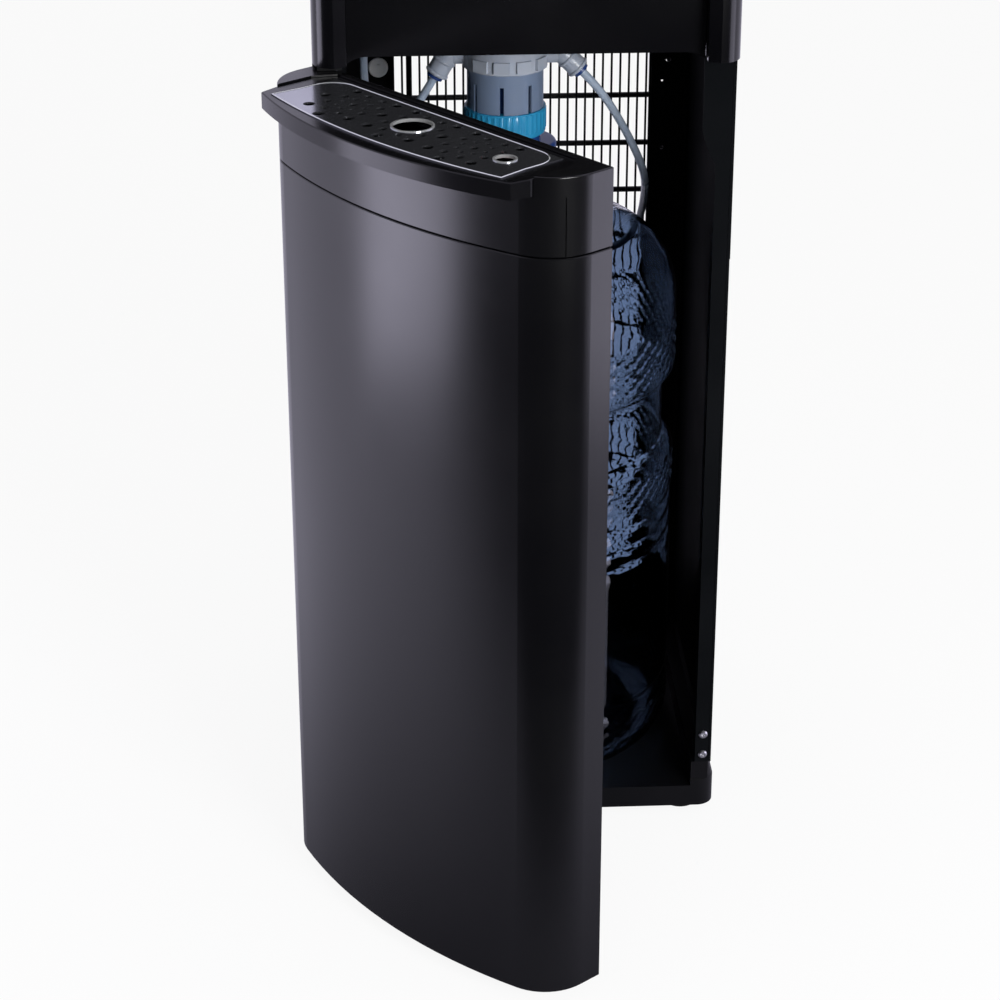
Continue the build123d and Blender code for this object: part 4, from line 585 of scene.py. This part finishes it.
class Paintwork:
    """Builds every finish once and puts it on the frame's nodes and the new pieces."""

    def __init__(self) -> None:
        """Build the groups and one material a finish."""
        kit = GroupKit()
        self.materials = {name: finish.build(name, kit) for name, finish in FINISHES.items()}

    def paint_frame(self) -> None:
        """Give each carried-over node the finish of its material slot."""
        for row in frame["record"]["subparts"]:
            node = frame["nodes"][row["node"]]
            material = self.materials[row["material_slot"]]
            if not node.material_slots:
                node.data.materials.append(material)
            for place in node.material_slots:
                place.material = material
            log.info("painted %s with %s", row["node"], row["material_slot"])

    def paint(self, piece: Piece, slot: str) -> None:
        """Give a new piece a finish and name its slot.

        Args:
            piece: the piece.
            slot: the record's material slot.
        """
        piece.data.materials.clear()
        piece.data.materials.append(self.materials[slot])
        log.info("built %s with %s", piece.name, slot)


# ---------------------------------------------------------------- the bottle
@dataclass
class WaterBottle:
    """Blue returnable bottle in the bay: a thin shell with ribs, a waist and three knurled bands.

    Heights are above the bay's floor. foot and shoulder are rows of radius and height.
    """

    centre: tuple[float, float] = (0.0, 0.146)
    floor: float = 0.027
    radius: float = 0.133
    height: float = 0.515
    neck: float = 0.028
    neck_height: float = 0.494
    wall: float = 0.0016
    turns: int = 180
    step: float = 0.0028
    smoothing: int = 3
    foot: tuple[tuple[float, float], ...] = (
        (0.0, 0.010), (0.070, 0.009), (0.095, 0.003), (0.104, 0.0), (0.114, 0.0), (0.124, 0.003),
        (0.130, 0.010),
    )
    foot_height: float = 0.022
    thick_foot: float = 0.020
    shoulder: tuple[tuple[float, float], ...] = (
        (0.1315, 0.411), (0.127, 0.425), (0.119, 0.438), (0.107, 0.448), (0.088, 0.459), (0.066, 0.467),
        (0.046, 0.473), (0.034, 0.478), (0.029, 0.485),
    )
    shoulder_height: float = 0.398
    relief_r: float = 0.12
    rib_heights: tuple[float, ...] = (0.052, 0.186, 0.203, 0.220)
    rib_depth: float = 0.0028
    rib_half: float = 0.0050
    waist: tuple[float, float] = (0.268, 0.331)
    waist_depth: float = 0.0095
    waist_ease: float = 0.014
    knurls: tuple[tuple[float, float], ...] = ((0.338, 0.378), (0.234, 0.262), (0.012, 0.044))
    knurl_ease: float = 0.004
    knurl_depth: float = 0.0011
    knurl_count: int = 45
    knurl_pitch: float = 0.0112

    def outline(self) -> np.ndarray:
        """Outer half section from the middle of the foot to the lip.

        Returns:
            Rows of radius and height, evenly spaced, with corners softened by a 1-2-1 average.
        """
        side = [(self.radius, self.foot_height), (self.radius, self.shoulder_height)]
        lip = [(self.neck, self.neck_height), (self.neck, self.height)]
        corners = np.array([*self.foot, *side, *self.shoulder, *lip])
        runs = np.concatenate([[0.0], np.cumsum(np.hypot(*np.diff(corners, axis=0).T))])
        even = np.linspace(0.0, runs[-1], int(runs[-1] / self.step))
        line = np.stack([np.interp(even, runs, corners[:, 0]), np.interp(even, runs, corners[:, 1])], axis=-1)
        for _ in range(self.smoothing):
            line[1:-1] = (line[:-2] + 2.0 * line[1:-1] + line[2:]) / 4.0
        return line

    def relief(self, height: np.ndarray, turn: np.ndarray) -> np.ndarray:
        """How far the wall stands out of its plain radius.

        Ribs are valleys depth exp(-((h - h0) / half)^2). The waist is a valley with raised-cosine
        ends. The knurl is depth cos(n t) cos(2 pi h / pitch) inside its bands.

        Args:
            height: heights, as a column.
            turn: turns, as a row.

        Returns:
            The distances, heights by turns.
        """
        ribs = sum(np.exp(-(((height - place) / self.rib_half) ** 2)) for place in self.rib_heights)
        waist = self.band(height, self.waist, self.waist_ease)
        knurl = sum(self.band(height, limits, self.knurl_ease) for limits in self.knurls)
        weave = np.cos(self.knurl_count * turn) * np.cos(2.0 * pi * height / self.knurl_pitch)
        return knurl * weave * self.knurl_depth - ribs * self.rib_depth - waist * self.waist_depth

    @staticmethod
    def band(height: np.ndarray, limits: tuple[float, float], ease: float) -> np.ndarray:
        """1 between two heights and 0 outside, with a raised-cosine step at each.

        Args:
            height: the heights.
            limits: the middles of the two steps.
            ease: how wide a step is.

        Returns:
            The shares.
        """
        rise = np.clip((height - limits[0]) / ease + 0.5, 0.0, 1.0)
        fall = np.clip((limits[1] - height) / ease + 0.5, 0.0, 1.0)
        return (0.5 - 0.5 * np.cos(pi * rise)) * (0.5 - 0.5 * np.cos(pi * fall))

    def build(self) -> Piece:
        """Build the shell: the outer sheet, and the same drawn in by the wall, joined at the lip.

        Returns:
            The bottle, in place of its plain node.
        """
        outer = self.outline()
        back = outer[::-1]
        inner = back - np.array([self.wall, 0.0])
        low = back[:, 1] < self.thick_foot
        inner[low] = back[low] + np.array([-self.wall, self.wall])
        inner[:, 0] = np.maximum(inner[:, 0], 0.0)
        inner[-1, 0] = 0.0
        profile = np.concatenate([outer, inner])
        turn = np.linspace(0.0, 2.0 * pi, self.turns, endpoint=False)
        grid = turned(profile + np.array([0.0, self.floor]), self.centre, self.turns)
        out = self.relief(profile[:, 1:], turn[None, :]) * (profile[:, :1] > self.relief_r)
        grid[..., 0] += out * np.cos(turn)
        grid[..., 1] += out * np.sin(turn)
        bottle = make_piece("bottle_shell", [Grid(grid)], sharp_degrees=50.0)
        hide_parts("bottle")
        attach(bottle, "cabinet")
        return bottle


# ---------------------------------------------------------------- hoses
@dataclass(frozen=True)
class Hose:
    """A water hose on its own smooth line, with its real length and thickness."""

    name: str
    node: str
    route: tuple[Point, ...]
    length: float
    thickness: float = 0.0064

    def build(self) -> Piece:
        """Its half thickness is the radius of its points, on a bevel of 1, so that its box is its own.

        Returns:
            The curve, in place of its plain node.
        """
        line = bpy.data.curves.new(self.name, "CURVE")
        line.dimensions = "3D"
        line.resolution_u = 10
        line.bevel_depth = 1.0
        line.bevel_resolution = 5
        line.use_fill_caps = True
        spline = line.splines.new("NURBS")
        spline.points.add(len(self.route) - 1)
        spline.points.foreach_set("co", [value for point in self.route for value in (*point, 1.0)])
        spline.points.foreach_set("radius", [self.thickness / 2] * len(self.route))
        spline.order_u = 3
        spline.use_endpoint_u = True
        hose = add_object(self.name, line)
        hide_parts(self.node)
        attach(hose, "cabinet")
        return hose


SUPPLY_HOSE = Hose(
    "supply_water_hose",
    "supply_hose",
    (
        (0.049849, 0.110, 0.618151), (0.064698, 0.110, 0.603302), (0.086, 0.128, 0.566),
        (0.102, 0.150, 0.530), (0.109, 0.177, 0.506), (0.112, 0.207, 0.484), (0.113, 0.237, 0.456),
        (0.109, 0.262, 0.426), (0.092, 0.276, 0.408), (0.066, 0.283, 0.408), (0.040, 0.285, 0.430),
        (0.020, 0.281, 0.470), (0.006, 0.266, 0.512), (0.0, 0.243, 0.541), (0.0, 0.219, 0.547),
        (0.0, 0.195, 0.547),
    ),
    0.5286,
)
OUTLET_HOSE = Hose(
    "outlet_water_hose",
    "outlet_hose",
    (
        (-0.0655, 0.110, 0.614813), (-0.076, 0.110, 0.596627), (-0.093, 0.124, 0.570),
        (-0.108, 0.148, 0.560), (-0.118, 0.178, 0.570), (-0.121, 0.204, 0.598),
        (-0.118, 0.216, 0.634), (-0.118, 0.216, 0.662),
    ),
    0.2194,
)


# ---------------------------------------------------------------- fittings and filter
@dataclass(frozen=True)
class Ring:
    """A moulded bead round an axis square to Y: its middle, which way it faces, and its sizes."""

    centre: Point
    facing: Point
    radius: float
    half_width: float
    proud: float
    sunk: float = 0.0006
    turns: int = 56
    bulge_steps: int = 9

    def grid(self) -> Grid:
        """Closed bead round a cylinder: half an ellipse outwards, and a flat sunk inside the cylinder.

        The ellipse is (radius + proud cos t, half_width sin t), with t from -90 to 90 degrees.

        Returns:
            The sheet of its section, carried round the facing axis.
        """
        facing = np.array(self.facing) / np.linalg.norm(self.facing)
        aside = np.cross(facing, (0.0, 1.0, 0.0))
        aside /= np.linalg.norm(aside)
        across = np.cross(facing, aside)
        turn = np.linspace(0.0, 2.0 * pi, self.turns, endpoint=False)
        out = np.cos(turn)[:, None] * aside + np.sin(turn)[:, None] * across
        bulge = np.radians(np.linspace(-90.0, 90.0, self.bulge_steps))
        reach = self.radius + self.proud * np.cos(bulge)
        inside = self.radius - self.sunk
        ellipse = np.stack([reach, self.half_width * np.sin(bulge)], axis=-1)
        flat = np.array([[inside, self.half_width], [inside, -self.half_width]])
        path = np.broadcast_to(np.array(self.centre), out.shape)
        along = np.broadcast_to(facing, out.shape)
        return Grid(carried(np.concatenate([ellipse, flat]), path, out, along), wrap_rows=True)


@dataclass
class FilterFittings:
    """Beads on the push-in elbows, and the grip ribs of the filter's ring."""

    nose_r: float = 0.0085
    right_knee: Point = (0.035, 0.110, 0.633)
    left_knee: Point = (-0.055, 0.110, 0.633)
    right_drop: float = 45.0
    left_drop: float = 60.0
    bead_places: tuple[float, ...] = (0.0055, 0.0165)
    bead_half: float = 0.0014
    bead_proud: float = 0.0010
    grip_ribs: int = 40
    rib_steps: int = 10
    grip_proud: float = 0.0005
    grip_sunk: float = 0.0003
    grip_foot: float = 0.0040
    grip_head: float = 0.0010
    grip_slope: float = 0.0005

    def build_elbow_beads(self) -> Piece:
        """Build two beads round each elbow's nose.

        Returns:
            The beads, as one piece.
        """
        right = (1.0, self.right_knee, radians(self.right_drop))
        left = (-1.0, self.left_knee, radians(self.left_drop))
        grids = []
        for side, knee, drop in (right, left):
            facing = (side * cos(drop), 0.0, -sin(drop))
            for place in self.bead_places:
                centre = tuple(k + place * d for k, d in zip(knee, facing))
                grids.append(Ring(centre, facing, self.nose_r, self.bead_half, self.bead_proud).grid())
        beads = make_piece("elbow_beads", grids, sharp_degrees=60.0)
        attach(beads, "cabinet")
        return beads

    def build_grip(self) -> Piece:
        """Build the upright grip ribs round the filter's coloured ring.

        The sleeve's radius is R + proud max(0, cos(n t))^0.5, and its ends slope down into the ring.

        Returns:
            The ribs, as one sleeve.
        """
        low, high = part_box("filter_ring")
        middle = (low + high) / 2
        inside = (high.x - low.x) / 2 - self.grip_sunk
        turn = np.linspace(0.0, 2.0 * pi, self.grip_ribs * self.rib_steps, endpoint=False)
        rib = self.grip_proud * np.sqrt(np.maximum(0.0, np.cos(self.grip_ribs * turn)))
        foot, head = low.z + self.grip_foot, high.z - self.grip_head
        heights = np.array([foot, foot + self.grip_slope, head - self.grip_slope, head, middle.z])
        shares = np.array([0.0, 1.0, 1.0, 0.0, 0.0])
        reach = inside + (self.grip_sunk + rib) * shares[:, None]
        grid = np.stack([middle.x + reach * np.cos(turn), middle.y + reach * np.sin(turn),
                         np.broadcast_to(heights[:, None], reach.shape)], axis=-1)
        grip = make_piece("filter_grip_ribs", [Grid(grid, wrap_rows=True)], sharp_degrees=40.0)
        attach(grip, "filter")
        return grip


# ---------------------------------------------------------------- cabinet seams
@dataclass
class SeamBeads:
    """Dark sealant beads along the inner corners of the bay, where the rear panel meets the sides."""

    side: float = 0.1555
    rear: float = 0.2940
    front: float = 0.0120
    bottom: float = 0.0500
    top: float = 0.6680
    leg: float = 0.0030
    hollow_share: float = 0.45
    sunk: float = 0.00005

    def bar(self, start: Point, end: Point, first: Point, second: Point) -> Grid:
        """Straight bead in a corner, with two legs and a slightly hollow face.

        Args:
            start: one end of the corner.
            end: the other end.
            first: the unit direction of one leg.
            second: the unit direction of the other leg.

        Returns:
            Its sheet: the section shrunk to a point, full at both ends, and shrunk again.
        """
        leg, sunk, hollow = self.leg, self.sunk, self.leg * self.hollow_share
        section = np.array([[-sunk, -sunk], [leg, -sunk], [hollow, hollow], [-sunk, leg]])
        middle = section.mean(axis=0)
        rows = []
        for place, share in ((start, 0.0), (start, 1.0), (end, 1.0), (end, 0.0)):
            shape = middle + (section - middle) * share
            rows.append(np.array(place) + shape[:, :1] * np.array(first) + shape[:, 1:] * np.array(second))
        return Grid(np.stack(rows))

    def build(self) -> Piece:
        """Build beads up both rear corners, along the foot of both sides and the foot of the rear.

        Returns:
            The beads, as one piece.
        """
        up, forwards = (0.0, 0.0, 1.0), (0.0, -1.0, 0.0)
        grids = []
        for hand in (-1.0, 1.0):
            inwards = (-hand, 0.0, 0.0)
            x = hand * self.side
            grids.append(self.bar((x, self.rear, self.bottom), (x, self.rear, self.top), inwards, forwards))
            grids.append(self.bar((x, self.front, self.bottom), (x, self.rear, self.bottom), inwards, up))
        ends = ((-self.side, self.rear, self.bottom), (self.side, self.rear, self.bottom))
        grids.append(self.bar(*ends, forwards, up))
        beads = make_piece("bay_seam_beads", grids, sharp_degrees=30.0)
        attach(beads, "cabinet")
        return beads


# ---------------------------------------------------------------- door trims
@dataclass(frozen=True)
class OpenDoor:
    """The door as it stands open: u runs along its width from the hinge edge, v out of its back."""

    pivot: tuple[float, float] = (-0.1455, -0.0055)
    inset: float = 0.012
    opening: float = 51.5

    def place(self, u: np.ndarray, v: np.ndarray, z: np.ndarray) -> np.ndarray:
        """World points of door coordinates.

        x = px + cos a (u - inset) - sin a v and y = py - sin a (u - inset) - cos a v.

        Args:
            u: distance along the width.
            v: distance out of the back plane.
            z: height.

        Returns:
            The points, with x, y and z last.
        """
        turn = radians(self.opening)
        x = self.pivot[0] + cos(turn) * (u - self.inset) - sin(turn) * v
        y = self.pivot[1] - sin(turn) * (u - self.inset) - cos(turn) * v
        return np.stack([x, y, np.broadcast_to(z, x.shape)], axis=-1)


@dataclass
class GrilleTrim:
    """Bright bevelled edge round the grille's top face."""

    door: OpenDoor
    middle: float = 0.1575
    half_front: float = 0.124
    half_side: float = 0.1215
    back: float = 0.0125
    side: float = 0.046
    front: float = 0.070
    bow: float = 0.084
    corner: float = 0.020
    top: float = 0.6572
    width: float = 0.0013
    rise: float = 0.0004
    lip: float = 0.0001
    shoulder: float = 0.0004
    crown_share: float = 0.6
    sunk: float = 0.0002
    corner_steps: int = 10
    bow_steps: int = 48

    def outline(self, inset: float) -> np.ndarray:
        """Outline of the grille, once round.

        The back corners are quarter circles, the front is the parabola through its corners and
        its middle, and the sides lean out to the front corners.

        Args:
            inset: how far it is drawn in.

        Returns:
            Rows of door coordinates, u and v.
        """
        corner = self.corner - inset
        side, half_front, back = self.half_side - inset, self.half_front - inset, self.back + inset
        right_back = arc((side - corner, back + corner), corner, -90.0, 0.0, self.corner_steps)
        left_back = arc((-side + corner, back + corner), corner, 180.0, 270.0, self.corner_steps)
        share = np.linspace(-1.0, 1.0, self.bow_steps)
        depth = self.front - inset + (self.bow - self.front) * (1 - share**2)
        bowed = np.stack([-half_front * share, depth], axis=-1)
        shoulders = [np.array([[side, self.side]]), bowed, np.array([[-side, self.side]])]
        line = np.concatenate([right_back, *shoulders, left_back])
        return line + np.array([self.middle, 0.0])

    def build_edge(self) -> Piece:
        """Build a low bevelled strip along the outline: up, over and down, closed underneath.

        Returns:
            The strip.
        """
        insets = (self.lip, self.shoulder, self.width * self.crown_share, self.width)
        rises = (-self.sunk, self.rise / 2, self.rise, -self.sunk)
        rows = []
        for inset, rise in zip(insets, rises):
            u, v = self.outline(inset).T
            rows.append(self.door.place(u, v, np.float64(self.top + rise)))
        edge = make_piece("grille_edge", [Grid(np.stack(rows), wrap_rows=True)], sharp_degrees=30.0)
        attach(edge, "grille")
        return edge


@dataclass
class DoorSeal:
    """Soft gasket round the raised field of the door's liner."""

    door: OpenDoor
    left: float = 0.0075
    right: float = 0.3075
    bottom: float = 0.030
    top: float = 0.560
    corner: float = 0.008
    half: float = 0.0028
    reach: float = 0.0030
    seat_share: float = 0.4
    bead_steps: int = 12
    corner_steps: int = 7

    def build(self) -> Piece:
        """Build a rounded bead carried round a rectangle on the door's back.

        Its section is (half cos t, reach (s + (1 - s) sin t)), with s the seat's share.

        Returns:
            The gasket.
        """
        turn = np.radians(np.linspace(0.0, 360.0, self.bead_steps, endpoint=False))
        rows = []
        for angle in turn:
            grow = self.half * cos(angle)
            out = self.reach * (self.seat_share + (1.0 - self.seat_share) * sin(angle))
            corners = self.rectangle(grow)
            rows.append(self.door.place(corners[:, 0], np.full(len(corners), -out), corners[:, 1]))
        seal = make_piece("door_gasket", [Grid(np.stack(rows), wrap_rows=True)], sharp_degrees=60.0)
        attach(seal, "door")
        return seal

    def rectangle(self, grow: float) -> np.ndarray:
        """Rectangle with quarter-circle corners.

        Args:
            grow: how far it is grown.

        Returns:
            Rows of u and z.
        """
        left, right = self.left + self.corner, self.right - self.corner
        bottom, top = self.bottom + self.corner, self.top - self.corner
        places = ((right, bottom, -90.0), (right, top, 0.0), (left, top, 90.0), (left, bottom, 180.0))
        radius = self.corner + grow
        bends = [arc((u, z), radius, start, start + 90.0, self.corner_steps) for u, z, start in places]
        return np.concatenate(bends)


# ---------------------------------------------------------------- studio and camera
@dataclass(frozen=True)
class Softbox:
    """A soft lamp: where it stands, where it aims, its size, power and colour."""

    name: str
    place: Point
    aim: Point
    width: float
    height: float
    power: float
    colour: Colour

    def build(self) -> None:
        """Build the area lamp, unseen by the camera."""
        lamp = bpy.data.lights.new(self.name, "AREA")
        lamp.shape = "RECTANGLE"
        lamp.size = self.width
        lamp.size_y = self.height
        lamp.energy = self.power
        lamp.color = self.colour
        holder = add_object(self.name, lamp)
        holder.location = self.place
        holder.rotation_euler = (Vector(self.aim) - Vector(self.place)).to_track_quat("-Z", "Y").to_euler()
        holder.visible_camera = False


WHITE = (1.0, 1.0, 1.0)
LILAC = (0.84, 0.81, 1.0)
SOFTBOXES = (
    Softbox("left_softbox", (-1.18, -0.13, 0.36), (-0.08, -0.13, 0.36), 0.55, 0.62, 4.2, LILAC),
    Softbox("right_softbox", (1.05, -0.30, 0.36), (0.05, -0.24, 0.36), 0.5, 0.62, 2.4, LILAC),
    Softbox("front_softbox", (0.95, -2.0, 1.05), (0.0, 0.1, 0.6), 0.8, 0.8, 40.0, WHITE),
)


@dataclass
class Studio:
    """Pale floor, plain white surroundings, soft lamps and the camera.

    The first two depth pairs, for the floor and for the surroundings, are the depths between which their
    painted reflection goes from dim to white, a painted shade in front of the object, and foot_reach the
    distances from foot between which the floor's painted reflection does, a painted shade round the door's
    foot.
    """

    floor_half: float = 30.0
    floor_steps: int = 41
    floor_tone: float = 0.90
    floor_rough: float = 0.9
    floor_white: float = 0.90
    # depths of the painted reflection, dim in front and white behind, for the floor and then for the
    # surroundings, and the painted shade round the door's foot
    painted_reflection: tuple[float, float] = (-0.62, -0.20)
    world_painted_reflection: tuple[float, float] = (-0.30, 0.10)
    foot: tuple[float, float] = (-0.05, -0.15)
    foot_reach: tuple[float, float] = (-0.18, 0.85)
    dim: float = 0.02
    room_light: float = 0.55
    camera_place: Point = (-0.12203, -1.98271, 1.24345)
    camera_turn: Point = (90.0 - 25.408, 0.0, -2.954)
    lens: float = 99.607
    sensor: float = 36.0
    far_clip: float = 200.0

    def build(self) -> None:
        """Build the floor, the world, the lamps and the camera."""
        self.build_floor()
        self.build_world()
        for softbox in SOFTBOXES:
            softbox.build()
        self.build_camera()

    def build_floor(self) -> None:
        """Build the flat pale floor, as a grid so that its material has a surface to work on."""
        side = np.linspace(-self.floor_half, self.floor_half, self.floor_steps)
        x, y = np.meshgrid(side, side)
        floor = make_piece("studio_floor", [Grid(np.stack([x, y, np.zeros_like(x)], axis=-1), False, False)])
        floor.data.materials.append(self.floor_material())

    @staticmethod
    def seen(tree: Tree, rays: Node) -> Socket:
        """1 for rays from the camera and through clear plastic, 0 for others."""
        return add_math(tree, "MAXIMUM", rays.outputs["Is Camera Ray"], rays.outputs["Is Transmission Ray"])

    def ease(self, tree: Tree, value: Socket, limits: tuple[float, float]) -> Socket:
        """Smooth step from dim to 1.

        Args:
            tree: the material's or world's nodes.
            value: what it follows.
            limits: where it starts and ends.

        Returns:
            The step's socket.
        """
        ramp = tree.nodes.new("ShaderNodeMapRange")
        ramp.interpolation_type = "SMOOTHSTEP"
        ramp.inputs["From Min"].default_value = limits[0]
        ramp.inputs["From Max"].default_value = limits[1]
        ramp.inputs["To Min"].default_value = self.dim
        tree.links.new(value, ramp.inputs["Value"])
        return ramp.outputs["Result"]

    def painted_reflection_tone(self, tree: Tree, coordinate: str, limits: tuple[float, float]) -> Socket:
        """Painted reflection of the floor and surroundings: dim in front, 1 behind, by depth, a painted shade
        in what is reflected.

        Args:
            tree: the material's or world's nodes.
            coordinate: the texture coordinate whose Y is the depth.
            limits: where the change starts and ends.

        Returns:
            The tone's socket.
        """
        place = tree.nodes.new("ShaderNodeTexCoord")
        split = tree.nodes.new("ShaderNodeSeparateXYZ")
        tree.links.new(place.outputs[coordinate], split.inputs["Vector"])
        return self.ease(tree, split.outputs["Y"], limits)

    def painted_foot_shade(self, tree: Tree) -> Socket:
        """Painted shade in the floor's reflection round the door's foot: dim close by, 1 further out.

        Args:
            tree: the floor material's nodes.

        Returns:
            The tone's socket.
        """
        place = tree.nodes.new("ShaderNodeTexCoord")
        offset = tree.nodes.new("ShaderNodeMapping")
        offset.inputs["Location"].default_value = (-self.foot[0], -self.foot[1], 0.0)
        distance = tree.nodes.new("ShaderNodeVectorMath")
        distance.operation = "LENGTH"
        tree.links.new(place.outputs["Object"], offset.inputs["Vector"])
        tree.links.new(offset.outputs["Vector"], distance.inputs[0])
        return self.ease(tree, distance.outputs["Value"], self.foot_reach)

    def floor_material(self) -> bpy.types.Material:
        """Pale floor: mostly plain white to the camera and through clear plastic, keeping its shadow.

        Returns:
            The material; in reflections it glows with a painted reflection, white behind the object and dim
            in front and round the door's foot.
        """
        material = bpy.data.materials.new("studio_floor")
        material.use_nodes = True
        tree = material.node_tree
        shader = tree.nodes["Principled BSDF"]
        shader.inputs["Base Color"].default_value = (self.floor_tone,) * 3 + (1.0,)
        shader.inputs["Roughness"].default_value = self.floor_rough
        shader.inputs["Specular IOR Level"].default_value = 0.0
        rays = tree.nodes.new("ShaderNodeLightPath")
        share = add_math(tree, "MULTIPLY", self.seen(tree, rays), self.floor_white)
        white = add_light(tree, "ShaderNodeEmission", WHITE)
        plain = mix_shaders(tree, share, shader.outputs[0], white)
        # painted reflection: for reflected rays the floor glows lilac, dimmed in front and round the door's
        # foot, a painted shade in what the door reflects
        tone = add_math(tree, "MULTIPLY", self.painted_reflection_tone(tree, "Object", self.painted_reflection), self.painted_foot_shade(tree))
        painted_reflection = add_light(tree, "ShaderNodeEmission", LILAC, tone)
        surface = mix_shaders(tree, rays.outputs["Is Glossy Ray"], plain, painted_reflection)
        tree.links.new(surface, tree.nodes["Material Output"].inputs["Surface"])
        return material

    def build_world(self) -> None:
        """Build a world that is white to the camera, a painted reflection for reflected rays, dim in front
        and white behind, and plain light elsewhere.
        """
        world = bpy.data.worlds.new("studio_world")
        bpy.context.scene.world = world
        world.use_nodes = True
        tree = world.node_tree
        room = tree.nodes["Background"]
        room.inputs["Color"].default_value = (*WHITE, 1.0)
        room.inputs["Strength"].default_value = self.room_light
        white = add_light(tree, "ShaderNodeBackground", WHITE)
        # painted reflection: for reflected rays the surroundings glow lilac, dim in front and white behind
        painted_reflection_tone = self.painted_reflection_tone(tree, "Generated", self.world_painted_reflection)
        painted_reflection = add_light(tree, "ShaderNodeBackground", LILAC, painted_reflection_tone)
        rays = tree.nodes.new("ShaderNodeLightPath")
        plain = mix_shaders(tree, self.seen(tree, rays), room.outputs[0], white)
        surface = mix_shaders(tree, rays.outputs["Is Glossy Ray"], plain, painted_reflection)
        tree.links.new(surface, tree.nodes["World Output"].inputs["Surface"])

    def build_camera(self) -> None:
        """Build the camera at the photograph's place, height and tilt."""
        data = bpy.data.cameras.new("photo_camera")
        data.lens = self.lens
        data.sensor_width = self.sensor
        data.clip_end = self.far_clip
        camera = add_object("photo_camera", data)
        camera.location = self.camera_place
        camera.rotation_euler = tuple(radians(turn) for turn in self.camera_turn)
        bpy.context.scene.camera = camera


def main() -> None:
    """Build the cooler's dress and the studio, piece by piece."""
    logging.basicConfig(level=logging.INFO, format="%(name)s: %(message)s")
    bpy.context.scene.view_settings.view_transform = "Standard"
    paintwork = Paintwork()
    paintwork.paint_frame()
    studio = Studio()
    studio.build()
    paintwork.paint(SUPPLY_HOSE.build(), "hose_grey")
    paintwork.paint(OUTLET_HOSE.build(), "hose_grey")
    paintwork.paint(WaterBottle().build(), "bottle_blue")
    fittings = FilterFittings()
    paintwork.paint(fittings.build_elbow_beads(), "fitting_white")
    paintwork.paint(fittings.build_grip(), "ring_cyan")
    paintwork.paint(SeamBeads().build(), "rear_black")
    door = OpenDoor()
    paintwork.paint(GrilleTrim(door).build_edge(), "bright_ring")
    paintwork.paint(DoorSeal(door).build(), "door_seal_black")
    bpy.context.view_layer.update()


if __name__ == "__main__":
    main()
